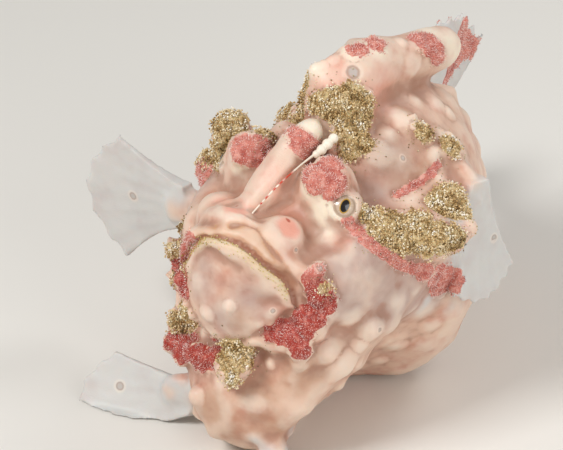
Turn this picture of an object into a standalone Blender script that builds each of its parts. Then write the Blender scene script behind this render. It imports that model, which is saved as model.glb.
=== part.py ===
# A warty frogfish, life size, resting on its breast and pelvic fins.
# It faces -Y, its left side is +X and up is +Z.
# Working lengths are millimetres from the point midway between the eyes.
# The finished meshes are scaled to metres and stood on the floor.

import math
import random

import bmesh
import bpy
import numpy as np
from mathutils import Euler, Vector

MILLIMETRE = 0.001
GAP = 0.3  # clear space between neighbouring pieces
SEED = 41
SIDES = {"left": 1, "right": -1}

# Driving sizes of the fish
EYE_SPAN = 16.4  # between the centres of the two eyeballs
EYE_RADIUS = 2.4
PUPIL_AIM = (0.85, -0.3, 0.43)  # where the left eye looks
SKULL_HALF = (9.5, 10.0, 7.6)
JAW_HALF = (8.2, 6.8, 7.6)
MOUTH_TOP = (0.8, -12.8, -1.8)  # middle of the lower lip
MOUTH_CORNER = (9.4, -8.4, -10.0)  # left end of the lower lip
BREAST_LEVEL = -33.0  # the floor
TUCK_WAY = (0.748, 0.252, -0.614)  # outward over the tucked left underside of the belly
TUCK_LEVEL = 20.2  # how far that side reaches along it
TUCK_FADE = (9.0, 19.0)  # y where the tuck gives way to the full flank
NECK_AT, NECK_LEAN = 6.0, 0.25  # the cut behind the head: y = at + lean * z
STALK_AT = 35.5  # where the tail stalk begins, along y

# Cross-sections of the body: y, x, z of the middle, half width, height above, depth below
BODY_SECTIONS = (
    (-13.0, -0.5, -25.0, 2.5, 2.5, 3.5),
    (-9.0, -0.5, -23.5, 8.0, 7.0, 9.0),
    (-4.0, 0.0, -20.0, 12.0, 12.0, 14.0),
    (3.0, 0.0, -15.5, 14.6, 16.5, 19.0),
    (10.0, 0.0, -12.5, 15.5, 19.0, 21.8),
    (18.0, -0.6, -12.0, 14.2, 18.8, 21.3),
    (25.0, -3.4, -12.0, 11.4, 17.4, 19.5),
    (32.0, -7.2, -13.0, 9.2, 13.8, 15.5),
    (38.0, -9.6, -14.8, 7.4, 9.4, 10.8),
    (42.5, -12.6, -16.2, 5.0, 6.4, 7.0),
    (45.5, -15.2, -17.0, 3.2, 4.8, 4.8),
    (47.0, -17.0, -17.3, 1.6, 3.8, 3.8),
)
BODY_SIDES = 40

# Lobes of the ring round the chin, from behind the left mouth corner to the right: x, y, z, radius
CHIN_WARTS = (
    (10.0, -6.6, -5.2, 1.3),
    (10.5, -5.4, -7.6, 1.5),
    (11.2, -4.8, -10.2, 1.9),
    (10.5, -6.8, -12.4, 1.7),
    (8.8, -8.2, -14.0, 1.8),
    (6.2, -9.4, -15.0, 1.5),
    (9.6, -8.2, -16.6, 1.5),
    (2.0, -10.8, -18.8, 1.9),
    (1.2, -11.4, -21.4, 1.2),
    (-1.6, -10.8, -20.2, 1.6),
    (-4.4, -10.4, -20.8, 1.6),
    (-7.2, -9.8, -21.2, 1.9),
    (-9.6, -9.0, -21.4, 1.6),
    (-10.8, -8.2, -19.2, 1.5),
    (-10.2, -8.0, -16.4, 1.2),
    (-10.8, -7.2, -13.8, 1.3),
    (-11.8, -6.2, -11.2, 1.6),
    (-10.6, -6.0, -8.2, 1.3),
)

# Fineness of the fused forms and the triangles left in each
BODY_VOXEL = 0.7
BODY_TRIANGLES = 5600
JAW_TRIANGLES = 1000
LOBE_TRIANGLES = 760
SPINE_TRIANGLES = 300
LIMB_TRIANGLES = 240
CUTTER_TRIANGLES = 4000

rng = random.Random(SEED)


def clear_scene():
    for obj in list(bpy.data.objects):
        bpy.data.objects.remove(obj, do_unlink=True)


def spline(rows, steps):
    """A smooth run of rows of numbers through the given rows."""
    rows = np.asarray(rows, float)
    padded = np.vstack([2 * rows[0] - rows[1], rows, 2 * rows[-1] - rows[-2]])
    run = []
    for i in range(1, len(padded) - 2):
        a, b, c, d = padded[i - 1:i + 3]
        for k in range(steps):
            t = k / steps
            square = 2 * a - 5 * b + 4 * c - d
            cube = 3 * b - a - 3 * c + d
            run.append(0.5 * (2 * b + (c - a) * t + square * t**2 + cube * t**3))
    run.append(rows[-1])
    return np.array(run)


def unit(vector):
    vector = np.asarray(vector, float)
    return vector / np.linalg.norm(vector)


def mesh_object(name, points, faces):
    mesh = bpy.data.meshes.new(name)
    mesh.from_pydata([tuple(map(float, p)) for p in points], [], faces)
    obj = bpy.data.objects.new(name, mesh)
    bpy.context.scene.collection.objects.link(obj)
    face_out(obj)
    return obj


def face_out(obj):
    work = bmesh.new()
    work.from_mesh(obj.data)
    bmesh.ops.recalc_face_normals(work, faces=work.faces)
    work.to_mesh(obj.data)
    work.free()


def points_of(obj):
    flat = np.empty(len(obj.data.vertices) * 3, np.float32)
    obj.data.vertices.foreach_get("co", flat)
    return flat.reshape(-1, 3).astype(float)


def normals_of(obj):
    flat = np.empty(len(obj.data.vertices) * 3, np.float32)
    obj.data.vertex_normals.foreach_get("vector", flat)
    return flat.reshape(-1, 3).astype(float)


def move_points(obj, points):
    obj.data.vertices.foreach_set("co", np.asarray(points, np.float32).ravel())
    obj.data.update()


def apply_modifiers(obj):
    """Replaces the object's mesh by what its modifiers make of it."""
    bpy.context.view_layer.update()
    graph = bpy.context.evaluated_depsgraph_get()
    made = bpy.data.meshes.new_from_object(obj.evaluated_get(graph))
    obj.modifiers.clear()
    old = obj.data
    obj.data = made
    bpy.data.meshes.remove(old)


def loft(rings):
    """A closed surface through rings of equally many points."""
    sides = len(rings[0])
    points = np.vstack(list(rings) + [np.mean(rings[0], axis=0), np.mean(rings[-1], axis=0)])
    faces = []
    for i in range(len(rings) - 1):
        for k in range(sides):
            a = i * sides + k
            b = i * sides + (k + 1) % sides
            faces.append((a, b, b + sides, a + sides))
    first, last = len(points) - 2, len(points) - 1
    end = (len(rings) - 1) * sides
    for k in range(sides):
        faces.append((first, (k + 1) % sides, k))
        faces.append((last, end + k, end + (k + 1) % sides))
    return points, faces


def ellipsoid(centre, halves, turn=(0, 0, 0), rings=9, sides=16):
    """A closed egg shape; turn is in degrees about X, Y and Z."""
    about = np.array(Euler([math.radians(a) for a in turn]).to_matrix())
    around = np.linspace(0, 2 * math.pi, sides, endpoint=False)
    levels = []
    for i in range(1, rings + 1):
        polar = math.pi * i / (rings + 1)
        ring = np.column_stack([
            np.cos(around) * math.sin(polar),
            np.sin(around) * math.sin(polar),
            np.full(sides, math.cos(polar)),
        ])
        levels.append((ring * halves) @ about.T + centre)
    return loft(levels)


def ball(centre, radius):
    return ellipsoid(centre, (radius,) * 3)


def sweep(path, halves, side_hint=(1, 0, 0), sides=16, steps=5):
    """A round-ended limb along a path, with half sizes across and along the side hint."""
    rows = spline(np.hstack([path, halves]), steps)
    middles, sizes = rows[:, :3], rows[:, 3:]
    runs = np.gradient(middles, axis=0)
    around = np.linspace(0, 2 * math.pi, sides, endpoint=False)

    def ring(middle, run, size, shrink=1.0, shift=0.0):
        run = unit(run)
        other = unit(np.cross(run, side_hint))
        side = np.cross(other, run)
        offset = np.outer(np.cos(around) * size[0], side) + np.outer(np.sin(around) * size[1], other)
        return middle + run * shift + offset * shrink

    rings = []
    for share in (0.25, 0.7, 0.93):
        back = -sizes[0].mean() * math.sqrt(1 - share**2)
        rings.append(ring(middles[0], runs[0], sizes[0], share, back))
    for middle, run, size in zip(middles, runs, sizes):
        rings.append(ring(middle, run, size))
    for share in (0.93, 0.7, 0.25):
        ahead = sizes[-1].mean() * math.sqrt(1 - share**2)
        rings.append(ring(middles[-1], runs[-1], sizes[-1], share, ahead))
    return loft(rings)


def fuse(name, shapes, voxel, relax_steps):
    """One closed skin over overlapping closed shapes, with the joins eased."""
    points, faces, start = [], [], 0
    for shape_points, shape_faces in shapes:
        points.append(shape_points)
        faces += [tuple(start + i for i in face) for face in shape_faces]
        start += len(shape_points)
    obj = mesh_object(name, np.vstack(points), faces)
    remesh = obj.modifiers.new("skin", "REMESH")
    remesh.mode = "VOXEL"
    remesh.voxel_size = voxel
    apply_modifiers(obj)
    relax(obj, relax_steps)
    return obj


def relax(obj, steps, share=0.5):
    """Eases the surface with hardly any shrinking."""
    edges = np.empty(len(obj.data.edges) * 2, np.int32)
    obj.data.edges.foreach_get("vertices", edges)
    a, b = edges.reshape(-1, 2).T
    points = points_of(obj)
    count = np.bincount(a, minlength=len(points)) + np.bincount(b, minlength=len(points))
    for step in range(2 * steps):
        total = np.zeros_like(points)
        np.add.at(total, a, points[b])
        np.add.at(total, b, points[a])
        pull = share if step % 2 == 0 else -0.8 * share
        points += pull * (total / count[:, None] - points)
    move_points(obj, points)


def raise_bumps(obj, bumps):
    """Raises rounded warts: each is a centre, a radius and a height."""
    points, normals = points_of(obj), normals_of(obj)
    height = np.zeros(len(points))
    for centre, radius, rise in bumps:
        near = 1 - ((points - centre)**2).sum(axis=1) / radius**2
        height = np.maximum(height, rise * np.clip(near, 0, None)**1.5)
    move_points(obj, points + normals * height[:, None])


def scatter(points, spacing):
    """Seeded picks from the points, no two nearer than the spacing."""
    order = list(range(len(points)))
    rng.shuffle(order)
    kept = np.empty((0, 3))
    for i in order:
        if not len(kept) or ((kept - points[i])**2).sum(axis=1).min() > spacing**2:
            kept = np.vstack([kept, points[i]])
    return kept


def thin_out(obj, triangles):
    obj.data.calc_loop_triangles()
    decimate = obj.modifiers.new("coarser", "DECIMATE")
    decimate.ratio = min(1.0, triangles / len(obj.data.loop_triangles))
    decimate.use_collapse_triangulate = True
    apply_modifiers(obj)


def swollen(obj, by, triangles=CUTTER_TRIANGLES, voxel=0.7):
    """A helper: the object's form grown on all sides."""
    cutter = mesh_object("cutter", *mesh_data(obj))
    move_points(cutter, points_of(cutter) + normals_of(cutter) * by)
    remesh = cutter.modifiers.new("skin", "REMESH")
    remesh.mode = "VOXEL"
    remesh.voxel_size = voxel
    apply_modifiers(cutter)
    thin_out(cutter, triangles)
    return cutter


def mesh_data(obj):
    return points_of(obj), [tuple(face.vertices) for face in obj.data.polygons]


def keep_largest(obj):
    """Drops every closed surface but the one with the most volume."""
    work = bmesh.new()
    work.from_mesh(obj.data)
    left = set(work.faces)
    best, most = set(), -1.0
    while left:
        group, front = set(), [left.pop()]
        while front:
            face = front.pop()
            group.add(face)
            for edge in face.edges:
                for other in edge.link_faces:
                    if other in left:
                        left.discard(other)
                        front.append(other)
        volume = 0.0
        for face in group:
            corners = [vert.co for vert in face.verts]
            for i in range(1, len(corners) - 1):
                volume += corners[0].dot(corners[i].cross(corners[i + 1]))
        if abs(volume) > most:
            best, most = group, abs(volume)
    dropped = [face for face in work.faces if face not in best]
    bmesh.ops.delete(work, geom=dropped, context="FACES")
    bmesh.ops.triangulate(work, faces=work.faces)
    bmesh.ops.dissolve_degenerate(work, dist=1e-4, edges=work.edges)
    bmesh.ops.recalc_face_normals(work, faces=work.faces)
    work.to_mesh(obj.data)
    work.free()


def boolean(obj, other, operation="DIFFERENCE"):
    cut = obj.modifiers.new("cut", "BOOLEAN")
    cut.operation = operation
    cut.solver = "EXACT"
    cut.object = other
    apply_modifiers(obj)


def carve(obj, *cutters):
    for cutter in cutters:
        boolean(obj, cutter)
    keep_largest(obj)


def part_off(obj, names, middles, normals):
    """Parts the object by thin flat cuts and names the pieces in order along the cuts."""
    pieces = []
    for name, middle, normal in zip(names, list(middles) + [None], list(normals) + [None]):
        piece = mesh_object(name, *mesh_data(obj))
        if middle is not None:
            boolean(piece, half_space(middle, normal, -GAP / 2), "INTERSECT")
        if pieces:
            last = len(pieces) - 1
            boolean(piece, half_space(middles[last], normals[last], GAP / 2))
        keep_largest(piece)
        pieces.append(piece)
    return pieces


def half_space(middle, normal, shift):
    """A large block that fills the side of a plane away from its normal."""
    size = 200.0
    normal = unit(normal)
    turn = np.array(Vector(normal).to_track_quat("Z", "Y").to_matrix())
    corners = np.array([(x, y, z) for z in (-size, 0) for x in (-size, size) for y in (-size, size)])
    points = corners @ turn.T + np.asarray(middle) + normal * shift
    faces = [(0, 1, 3, 2), (4, 6, 7, 5), (0, 2, 6, 4), (1, 5, 7, 3), (0, 4, 5, 1), (2, 3, 7, 6)]
    return mesh_object("block", points, faces)


def body_shape():
    """The trunk's closed surface, its sections square to the bent line of the body."""
    rows = spline(BODY_SECTIONS, 5)
    middles = rows[:, [1, 0, 2]]
    runs = np.gradient(middles, axis=0)
    around = np.linspace(0, 2 * math.pi, BODY_SIDES, endpoint=False)
    rings = []
    for middle, run, (half, above, below) in zip(middles, runs, rows[:, 3:]):
        side = unit((run[1], -run[0], 0))
        tall = np.where(np.sin(around) > 0, above, below) * np.sin(around)
        rings.append(middle + np.outer(np.cos(around) * half, side) + np.outer(tall, (0, 0, 1)))
    return loft(rings)


def ridge_line(share_from, share_to, count, edge):
    """Points along the middle of the back (edge 1) or of the belly (edge -1), by share of length."""
    rows = spline(BODY_SECTIONS, 20)
    places = np.linspace(share_from, share_to, count) * (len(rows) - 1)
    picked = np.array([[np.interp(p, range(len(rows)), rows[:, k]) for k in range(6)] for p in places])
    runs = np.gradient(rows[:, [1, 0, 2]], axis=0)
    along = [unit([np.interp(p, range(len(rows)), runs[:, k]) for k in range(3)]) for p in places]
    height = picked[:, 4] if edge > 0 else -picked[:, 5]
    points = picked[:, [1, 0, 2]] + np.column_stack([0 * height, 0 * height, height])
    return points, np.array(along)


def arc_point(share):
    """A point on the lower lip, from the right corner (-1) over the middle (0) to the left (1)."""
    top, corner = np.array(MOUTH_TOP), np.array(MOUTH_CORNER)
    outward, fall = share, abs(share)**2.4
    return top + (corner - top) * (outward, fall, fall)


def lip(radius, back=0.0, lift=0.0, widen=1.0):
    """A rounded lip that follows the line of the mouth."""
    shares = np.linspace(-1, 1, 13)
    path = [arc_point(s) * (widen, 1, 1) + (0, back, lift) for s in shares]
    sizes = [(radius * (1 - 0.35 * s**2),) * 2 for s in shares]
    return sweep(path, sizes, side_hint=(0, 1, 0.3), sides=10, steps=3)


def head_shapes():
    """Skull, snout, cheeks, brows, nostril mounds and warty growths of the head."""
    shapes = [
        ellipsoid((0, 3.5, -4.6), SKULL_HALF),
        ellipsoid((0, -5.0, -4.8), (6.6, 5.6, 4.2), (-24, 0, 0)),
        ball((0.0, -6.4, -0.9), 1.5),
        ellipsoid((0.6, -6.8, -4.8), (8.0, 4.8, 4.2)),
        lip(1.4, back=2.5, lift=1.3, widen=1.05),
    ]
    for side in SIDES.values():
        shapes += [
            ellipsoid((9.2 * side, 2.0, -8.5), (5.4, 9.0, 7.5)),
            ellipsoid((6.8 * side, 0.6, -0.3), (2.9, 3.6, 3.4)),
            ellipsoid((5.8 * side, 0.3, 2.2), (2.9, 3.6, 3.0), (0, 12 * side, 0)),
            ellipsoid((4.7 * side, -6.6, -3.0), (3.0, 3.0, 3.0)),
            ellipsoid((8.9 * side, -5.4, -6.6), (2.2, 2.6, 3.2), (0, 0, 12 * side)),
        ]
    return shapes


def growth_shapes():
    """The rough lobes: nape saddle, shoulder lumps, the line above the left arm."""
    shapes = []
    for x, y, z, radius in (
        (-4.6, 5.4, 3.2, 2.3),
        (-1.5, 7.5, 4.6, 2.2),
        (3.4, 6.8, 4.2, 2.3),
        (6.6, 8.0, 3.2, 2.5),
        (-11.8, 3.8, 0.6, 2.9),
        (-14.2, 3.0, -4.0, 2.5),
        (-12.6, 0.5, -7.2, 2.3),
        (13.2, 14.4, -3.2, 2.4),
        (9.6, 20.0, 0.8, 1.5),
        (-1.6, 32.6, 0.4, 1.6),
        (17.2, 12.4, -5.0, 1.7),
    ):
        shapes.append(ball((x, y, z), radius))
    start, end = np.array((12.0, 3.4, -3.2)), np.array((16.4, 11.4, -5.6))
    for k in range(6):
        share = k / 5
        wobble = np.array((0.4 * math.sin(5 * k), 0, 0.7 * math.cos(4 * k)))
        shapes.append(ball(start + (end - start) * share + wobble, 2.0 + 0.9 * math.sin(math.pi * share)))
    return shapes


def chin_warts():
    """The crimson lobes that hang in a ring round the lower jaw."""
    return [ball(wart[:3], wart[3]) for wart in CHIN_WARTS]


def body():
    """Head and trunk fused whole, with warts raised on the sides and the belly resting flat."""
    obj = fuse("body", [body_shape()] + head_shapes() + growth_shapes() + chin_warts(), BODY_VOXEL, 4)
    tuck_belly(obj)
    points = points_of(obj)
    flank = (points[:, 1] > 3) & (np.abs(points[:, 0] + 2) > 4) & (points[:, 2] > BREAST_LEVEL + 2)
    breast = (points[:, 1] <= 3) & (points[:, 2] < -14)
    bumps = [(centre, rng.uniform(1.9, 2.9), rng.uniform(0.5, 1.0)) for centre in scatter(points[flank], 5.0)]
    bumps += [(centre, rng.uniform(1.4, 2.2), rng.uniform(0.5, 1.1)) for centre in scatter(points[breast], 4.6)]
    raise_bumps(obj, bumps)
    return obj


def tuck_belly(obj):
    """Draws in the left underside, where the fish props its weight on breast and right side."""
    points = points_of(obj)
    way = unit(TUCK_WAY)
    over = points @ way - TUCK_LEVEL
    over = 0.5 * (over + np.sqrt(over**2 + 1.5))
    share = 1 - smooth_step(points[:, 1], *TUCK_FADE)
    move_points(obj, points - np.outer(0.85 * over * share, way))


def smooth_step(values, low, high):
    share = np.clip((values - low) / (high - low), 0, 1)
    return share * share * (3 - 2 * share)


def rest_on_floor(obj):
    points = points_of(obj)
    points[:, 2] = np.maximum(points[:, 2], BREAST_LEVEL)
    move_points(obj, points)


def lower_jaw():
    """The upturned chin with its lip, the front of the face."""
    shapes = [
        ellipsoid((0, -7.6, -10.2), JAW_HALF, (0, 14, 0)),
        ellipsoid((0.8, -9.2, -6.0), (6.8, 4.4, 4.2), (20, 0, 0)),
        lip(1.15),
    ]
    obj = fuse("lower_jaw", shapes, 0.6, 3)
    bumps = [(c, rng.uniform(1.2, 1.9), rng.uniform(0.3, 0.6)) for c in scatter(points_of(obj), 4.2)]
    raise_bumps(obj, bumps)
    return obj


def fan(name, rays, thickness, ridge, rows=6, between=2, scallop=0.10, flesh=0.0):
    """A closed fin: bent rays as ridges on both faces, a thinner web between them.

    Each ray is three points: root, bend and tip. Both faces are split into triangles alike.
    """
    rays = np.asarray(rays, float)
    count = len(rays)
    curve = spline(rays.reshape(count, 9), between).reshape(-1, 3, 3)
    columns = len(curve)
    middle = np.empty((columns, rows + 1, 3))
    half = np.empty((columns, rows + 1))
    for i, (root, bend, tip) in enumerate(curve):
        place = math.pi * i / between
        web = math.sin(place)**2
        for k in range(rows + 1):
            t = (k / rows) * (1 - scallop * web)
            middle[i, k] = root * (1 - t)**2 + 2 * bend * t * (1 - t) + tip * t**2
            body_part = thickness * (1 - 0.45 * t) + flesh * (1 - t)**3
            half[i, k] = 0.5 * (body_part + ridge * (1 - web) * (1 - 0.4 * t))
    across = np.gradient(middle, axis=0)
    along = np.gradient(middle, axis=1)
    normal = np.cross(across, along)
    normal /= np.linalg.norm(normal, axis=2)[:, :, None]
    faces = []
    size = columns * (rows + 1)
    for i in range(columns - 1):
        for k in range(rows):
            a = i * (rows + 1) + k
            b, c, d = a + rows + 1, a + rows + 2, a + 1
            faces += [(a, b, c), (a, c, d), (a + size, c + size, b + size), (a + size, d + size, c + size)]
    rim = [i * (rows + 1) for i in range(columns)]
    rim += [(columns - 1) * (rows + 1) + k for k in range(1, rows + 1)]
    rim += [i * (rows + 1) + rows for i in range(columns - 2, -1, -1)]
    rim += [k for k in range(rows - 1, 0, -1)]
    for a, b in zip(rim, rim[1:] + rim[:1]):
        faces += [(a, a + size, b + size), (a, b + size, b)]
    offset = normal * half[:, :, None]
    points = np.vstack([(middle + offset).reshape(-1, 3), (middle - offset).reshape(-1, 3)])
    return mesh_object(name, points, faces)


def hand_rays(wrist, out, across, angles, lengths, palm, count, bow, sink=2.0):
    """Rays that spread from a wrist: angles in degrees from out towards across."""
    wrist, out, across = np.array(wrist, float), unit(out), unit(across)
    across = unit(across - out * across.dot(out))
    face = np.cross(out, across)
    reach = spline([[length] for length in lengths], 12)[:, 0]
    rays = []
    for i in range(count):
        share = i / (count - 1)
        angle = math.radians(angles[0] + (angles[1] - angles[0]) * share)
        length = np.interp(share * (len(reach) - 1), range(len(reach)), reach)
        root = wrist + across * palm * (math.sin(angle) / math.sin(math.radians(max(map(abs, angles)))))
        root = root - out * sink
        tip = wrist + length * (out * math.cos(angle) + across * math.sin(angle))
        bend = 0.5 * (root + tip) + face * bow
        rays.append((root, bend, tip))
    return rays


def row_rays(roots, along, lengths, rise, edge, bow, swing=0.0, sink=1.6):
    """Rays that stand in a row on the back or the belly and lean to the tail.

    The swing turns the rear rays out to the fish's left.
    """
    reach = spline([[length] for length in lengths], 12)[:, 0]
    lift = spline([[angle] for angle in rise], 12)[:, 0]
    rays = []
    for i, (root, run) in enumerate(zip(roots, along)):
        share = i / (len(roots) - 1)
        place = share * (len(reach) - 1)
        length = np.interp(place, range(len(reach)), reach)
        angle = math.radians(np.interp(share * (len(lift) - 1), range(len(lift)), lift))
        flat = unit((run[0] + swing * share**2, run[1], 0))
        lean = flat * math.cos(angle) + np.array((0, 0, edge * math.sin(angle)))
        foot = root - np.array((0, 0, edge * sink))
        tip = root + lean * length
        side = np.cross(flat, (0, 0, 1))
        rays.append((foot, 0.5 * (foot + tip) + side * bow, tip))
    return rays


def third_spine():
    """The long skin-covered lobe that lies back over the nape, free behind."""
    path = [(0, 9.0, 1.0), (-0.2, 9.4, 6.8), (-0.2, 13.2, 10.0), (0, 20.0, 9.6), (0, 25.8, 9.0), (0, 28.8, 8.6)]
    halves = [(5.2, 4.0), (4.3, 4.2), (3.6, 4.4), (3.2, 3.2), (3.0, 3.1), (2.6, 3.0)]
    shapes = [
        sweep(path, halves, side_hint=(1, 0, 0), sides=18),
        ellipsoid((-0.7, 8.9, 9.6), (3.4, 3.2, 3.5)),
    ]
    knobs = ((-1.6, 7.2, 12.2, 1.1), (-0.8, 9.6, 13.1, 1.1), (-0.2, 13.2, 13.5, 1.1), (0, 17.0, 13.0, 1.1))
    knobs += ((-3.2, 15.2, 12.6, 1.2), (-2.8, 18.8, 12.0, 1.1))
    shapes += [ball(knob[:3], knob[3]) for knob in knobs]
    return fuse("third_dorsal_spine", shapes, 0.6, 3)


def second_spine():
    """The club-shaped spine that leans back over the head."""
    path = [(0, -5.8, -2.0), (0, -3.9, 1.2), (0.4, -0.3, 4.5), (1.0, 3.0, 6.6)]
    halves = [(2.4, 2.0), (2.2, 1.9), (1.95, 1.8), (1.75, 1.6)]
    return fuse("second_dorsal_spine", [sweep(path, halves, sides=16)], 0.5, 2)


def lure_rod():
    """The fine first spine, folded back beside the second, and its lure."""
    path = [(0.9, -7.4, -1.0), (2.4, -4.6, 2.2), (3.3, -0.6, 5.2), (3.9, 2.2, 6.4)]
    points, faces = sweep(path, [(0.34, 0.34)] * 4, sides=8, steps=4)
    rod = mesh_object("illicium", points, faces)
    shapes = [ball((4.3, 3.6, 6.7), 0.75), ball((4.9, 4.0, 6.2), 0.6), ball((4.4, 4.3, 7.3), 0.55)]
    lure = fuse("lure", shapes, 0.3, 1)
    return rod, lure


def limbs():
    """Arms of the pectoral fins and the short legs of the pelvic fins."""
    made = {}
    plans = {
        "pectoral_arm_right": (
            [(-8.5, 9.5, -12.6), (-13.5, 7.6, -12.6), (-18.2, 5.4, -12.2), (-22.4, 4.1, -12.0)],
            [(3.2, 4.0), (2.9, 3.5), (2.0, 3.0), (1.3, 3.0)],
        ),
        "pectoral_arm_left": (
            [(6.0, 17.6, -4.6), (9.6, 18.4, -2.4), (12.6, 18.6, -2.0), (14.4, 18.1, -3.8)],
            [(2.6, 2.6), (2.2, 2.3), (1.7, 2.0), (1.2, 1.7)],
        ),
        "pelvic_limb_right": (
            [(-3.0, -3.6, -27.4), (-7.0, -6.4, -29.0), (-10.8, -8.6, -29.2)],
            [(2.8, 3.6), (2.3, 3.2), (1.5, 2.7)],
        ),
        "pelvic_limb_left": (
            [(0.5, -5.0, -27.8), (4.6, -8.2, -29.8), (8.2, -10.0, -31.0)],
            [(2.6, 2.9), (2.0, 2.3), (1.3, 1.6)],
        ),
    }
    for name, (path, halves) in plans.items():
        # the second half size runs up and down the limb, the first through its thickness
        flipped = [(tall, thick) for thick, tall in halves]
        made[name] = fuse(name, [sweep(path, flipped, side_hint=(0, 0, 1), sides=16)], 0.55, 2)
    return made


def hands():
    """The webbed, hand-like ends of the paired fins."""
    plans = {
        "pectoral_fin_right": dict(
            rays=hand_rays((-23.4, 4.1, -12.0), (-1, -0.12, -0.12), (0, -0.06, 1),
                           (-46, 50), (13.6, 14.6, 10.2), 2.7, 10, 0.8),
            thickness=0.7, ridge=0.45, flesh=1.1),
        "pectoral_fin_left": dict(
            rays=hand_rays((14.5, 18.0, -4.2), (0.14, -0.08, -1), (0.1, 1, 0),
                           (-22, 34), (11.8, 13.0, 11.4), 1.3, 10, -0.6),
            thickness=0.7, ridge=0.45, flesh=0.9),
        "pelvic_fin_right": dict(
            rays=hand_rays((-11.2, -8.8, -29.6), (-0.92, -0.36, -0.12), (0.1, 0.5, 0.86),
                           (-46, 30), (7.8, 13.0, 9.6), 2.2, 5, 0.8),
            thickness=0.8, ridge=0.5, flesh=0.9),
        "pelvic_fin_left": dict(
            rays=hand_rays((8.5, -10.2, -31.3), (1, -0.34, -0.10), (0.34, 1, 0.1),
                           (-44, 34), (8.6, 10.2, 9.0), 1.3, 5, 0.5),
            thickness=0.8, ridge=0.5, flesh=0.8),
    }
    made = {}
    for name, plan in plans.items():
        made[name] = fan(name, plan["rays"], plan["thickness"], plan["ridge"], flesh=plan["flesh"])
        rest_on_floor(made[name])
    return made


def median_fins():
    """Soft dorsal, anal and tail fins, all bent with the rear of the body."""
    back, along_back = ridge_line(0.53, 0.80, 12, 1)
    belly, along_belly = ridge_line(0.66, 0.80, 7, -1)
    dorsal = row_rays(back, along_back, (4.0, 6.5, 10.5, 13.5, 13.8), (14, 22, 42, 48, 38), 1, 0.6, 0.62)
    anal = row_rays(belly, along_belly, (5.5, 7.0, 7.5), (24, 20, 12), -1, 0.4)
    tail = hand_rays((-16.6, 46.4, -17.2), (-0.74, 0.66, -0.06), (-0.05, -0.05, 1),
                     (-34, 32), (14.0, 16.5, 13.5), 3.6, 9, 1.6, sink=3.0)
    return {
        "dorsal_fin": fan("dorsal_fin", dorsal, 0.7, 0.4, rows=5),
        "anal_fin": fan("anal_fin", anal, 0.7, 0.4, rows=5),
        "tail_fin": fan("tail_fin", tail, 0.8, 0.4, flesh=1.0),
    }


def eye_centre(side):
    return np.array((side * EYE_SPAN / 2, 0.5, -0.2))


def eyes():
    """Eyeballs with a slightly bulged cornea where the pupil is."""
    made = {}
    for name, side in SIDES.items():
        centre = eye_centre(side)
        points, faces = ellipsoid(centre, (EYE_RADIUS,) * 3, rings=9, sides=14)
        aim = unit(PUPIL_AIM) * (side, 1, 1)
        facing = np.clip(((points - centre) / EYE_RADIUS) @ aim, 0, 1)
        points = centre + (points - centre) * (1 + 0.07 * facing**4)[:, None]
        made[name] = mesh_object("eye_" + name, points, faces)
    return made


def nostril_pits():
    """Small pits sunk in the nostril mounds."""
    pits = []
    for side in SIDES.values():
        pit = ellipsoid((4.6 * side, -7.7, -1.9), (0.6, 0.9, 0.8), rings=4, sides=8)
        pits.append(mesh_object("pit", *pit))
    return pits


def material(name, colour, roughness=0.55, metallic=0.0):
    made = bpy.data.materials.new(name)
    made.use_nodes = True
    shader = made.node_tree.nodes["Principled BSDF"]
    shader.inputs["Base Color"].default_value = (*colour, 1)
    shader.inputs["Roughness"].default_value = roughness
    shader.inputs["Metallic"].default_value = metallic
    return made


def colour_of(name):
    palette = {
        "head": (0.82, 0.56, 0.48),
        "lower_jaw": (0.74, 0.58, 0.50),
        "trunk": (0.78, 0.55, 0.49),
        "tail_stalk": (0.76, 0.54, 0.48),
        "second_dorsal_spine": (0.80, 0.38, 0.36),
        "third_dorsal_spine": (0.84, 0.62, 0.55),
        "illicium": (0.70, 0.22, 0.18),
        "lure": (0.88, 0.86, 0.80),
        "eye": (0.62, 0.48, 0.20),
        "fin": (0.72, 0.73, 0.74),
        "limb": (0.74, 0.68, 0.66),
    }
    if name in palette:
        return palette[name]
    if name.startswith("eye"):
        return palette["eye"]
    return palette["limb" if "arm" in name or "limb" in name else "fin"]


def finish(nodes):
    """Scales the pieces to metres, stands them on the floor and gives each its material."""
    low = np.min([points_of(obj).min(axis=0) for obj in nodes], axis=0)
    high = np.max([points_of(obj).max(axis=0) for obj in nodes], axis=0)
    origin = np.array(((low[0] + high[0]) / 2, (low[1] + high[1]) / 2, BREAST_LEVEL))
    for obj in nodes:
        move_points(obj, (points_of(obj) - origin) * MILLIMETRE)
        obj.data.materials.clear()
        wet = 0.15 if obj.name.startswith("eye") else 0.5
        obj.data.materials.append(material(obj.name, colour_of(obj.name), wet))
        obj.data.shade_smooth()
        obj.data.set_sharp_from_angle(angle=math.radians(60))


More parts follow.
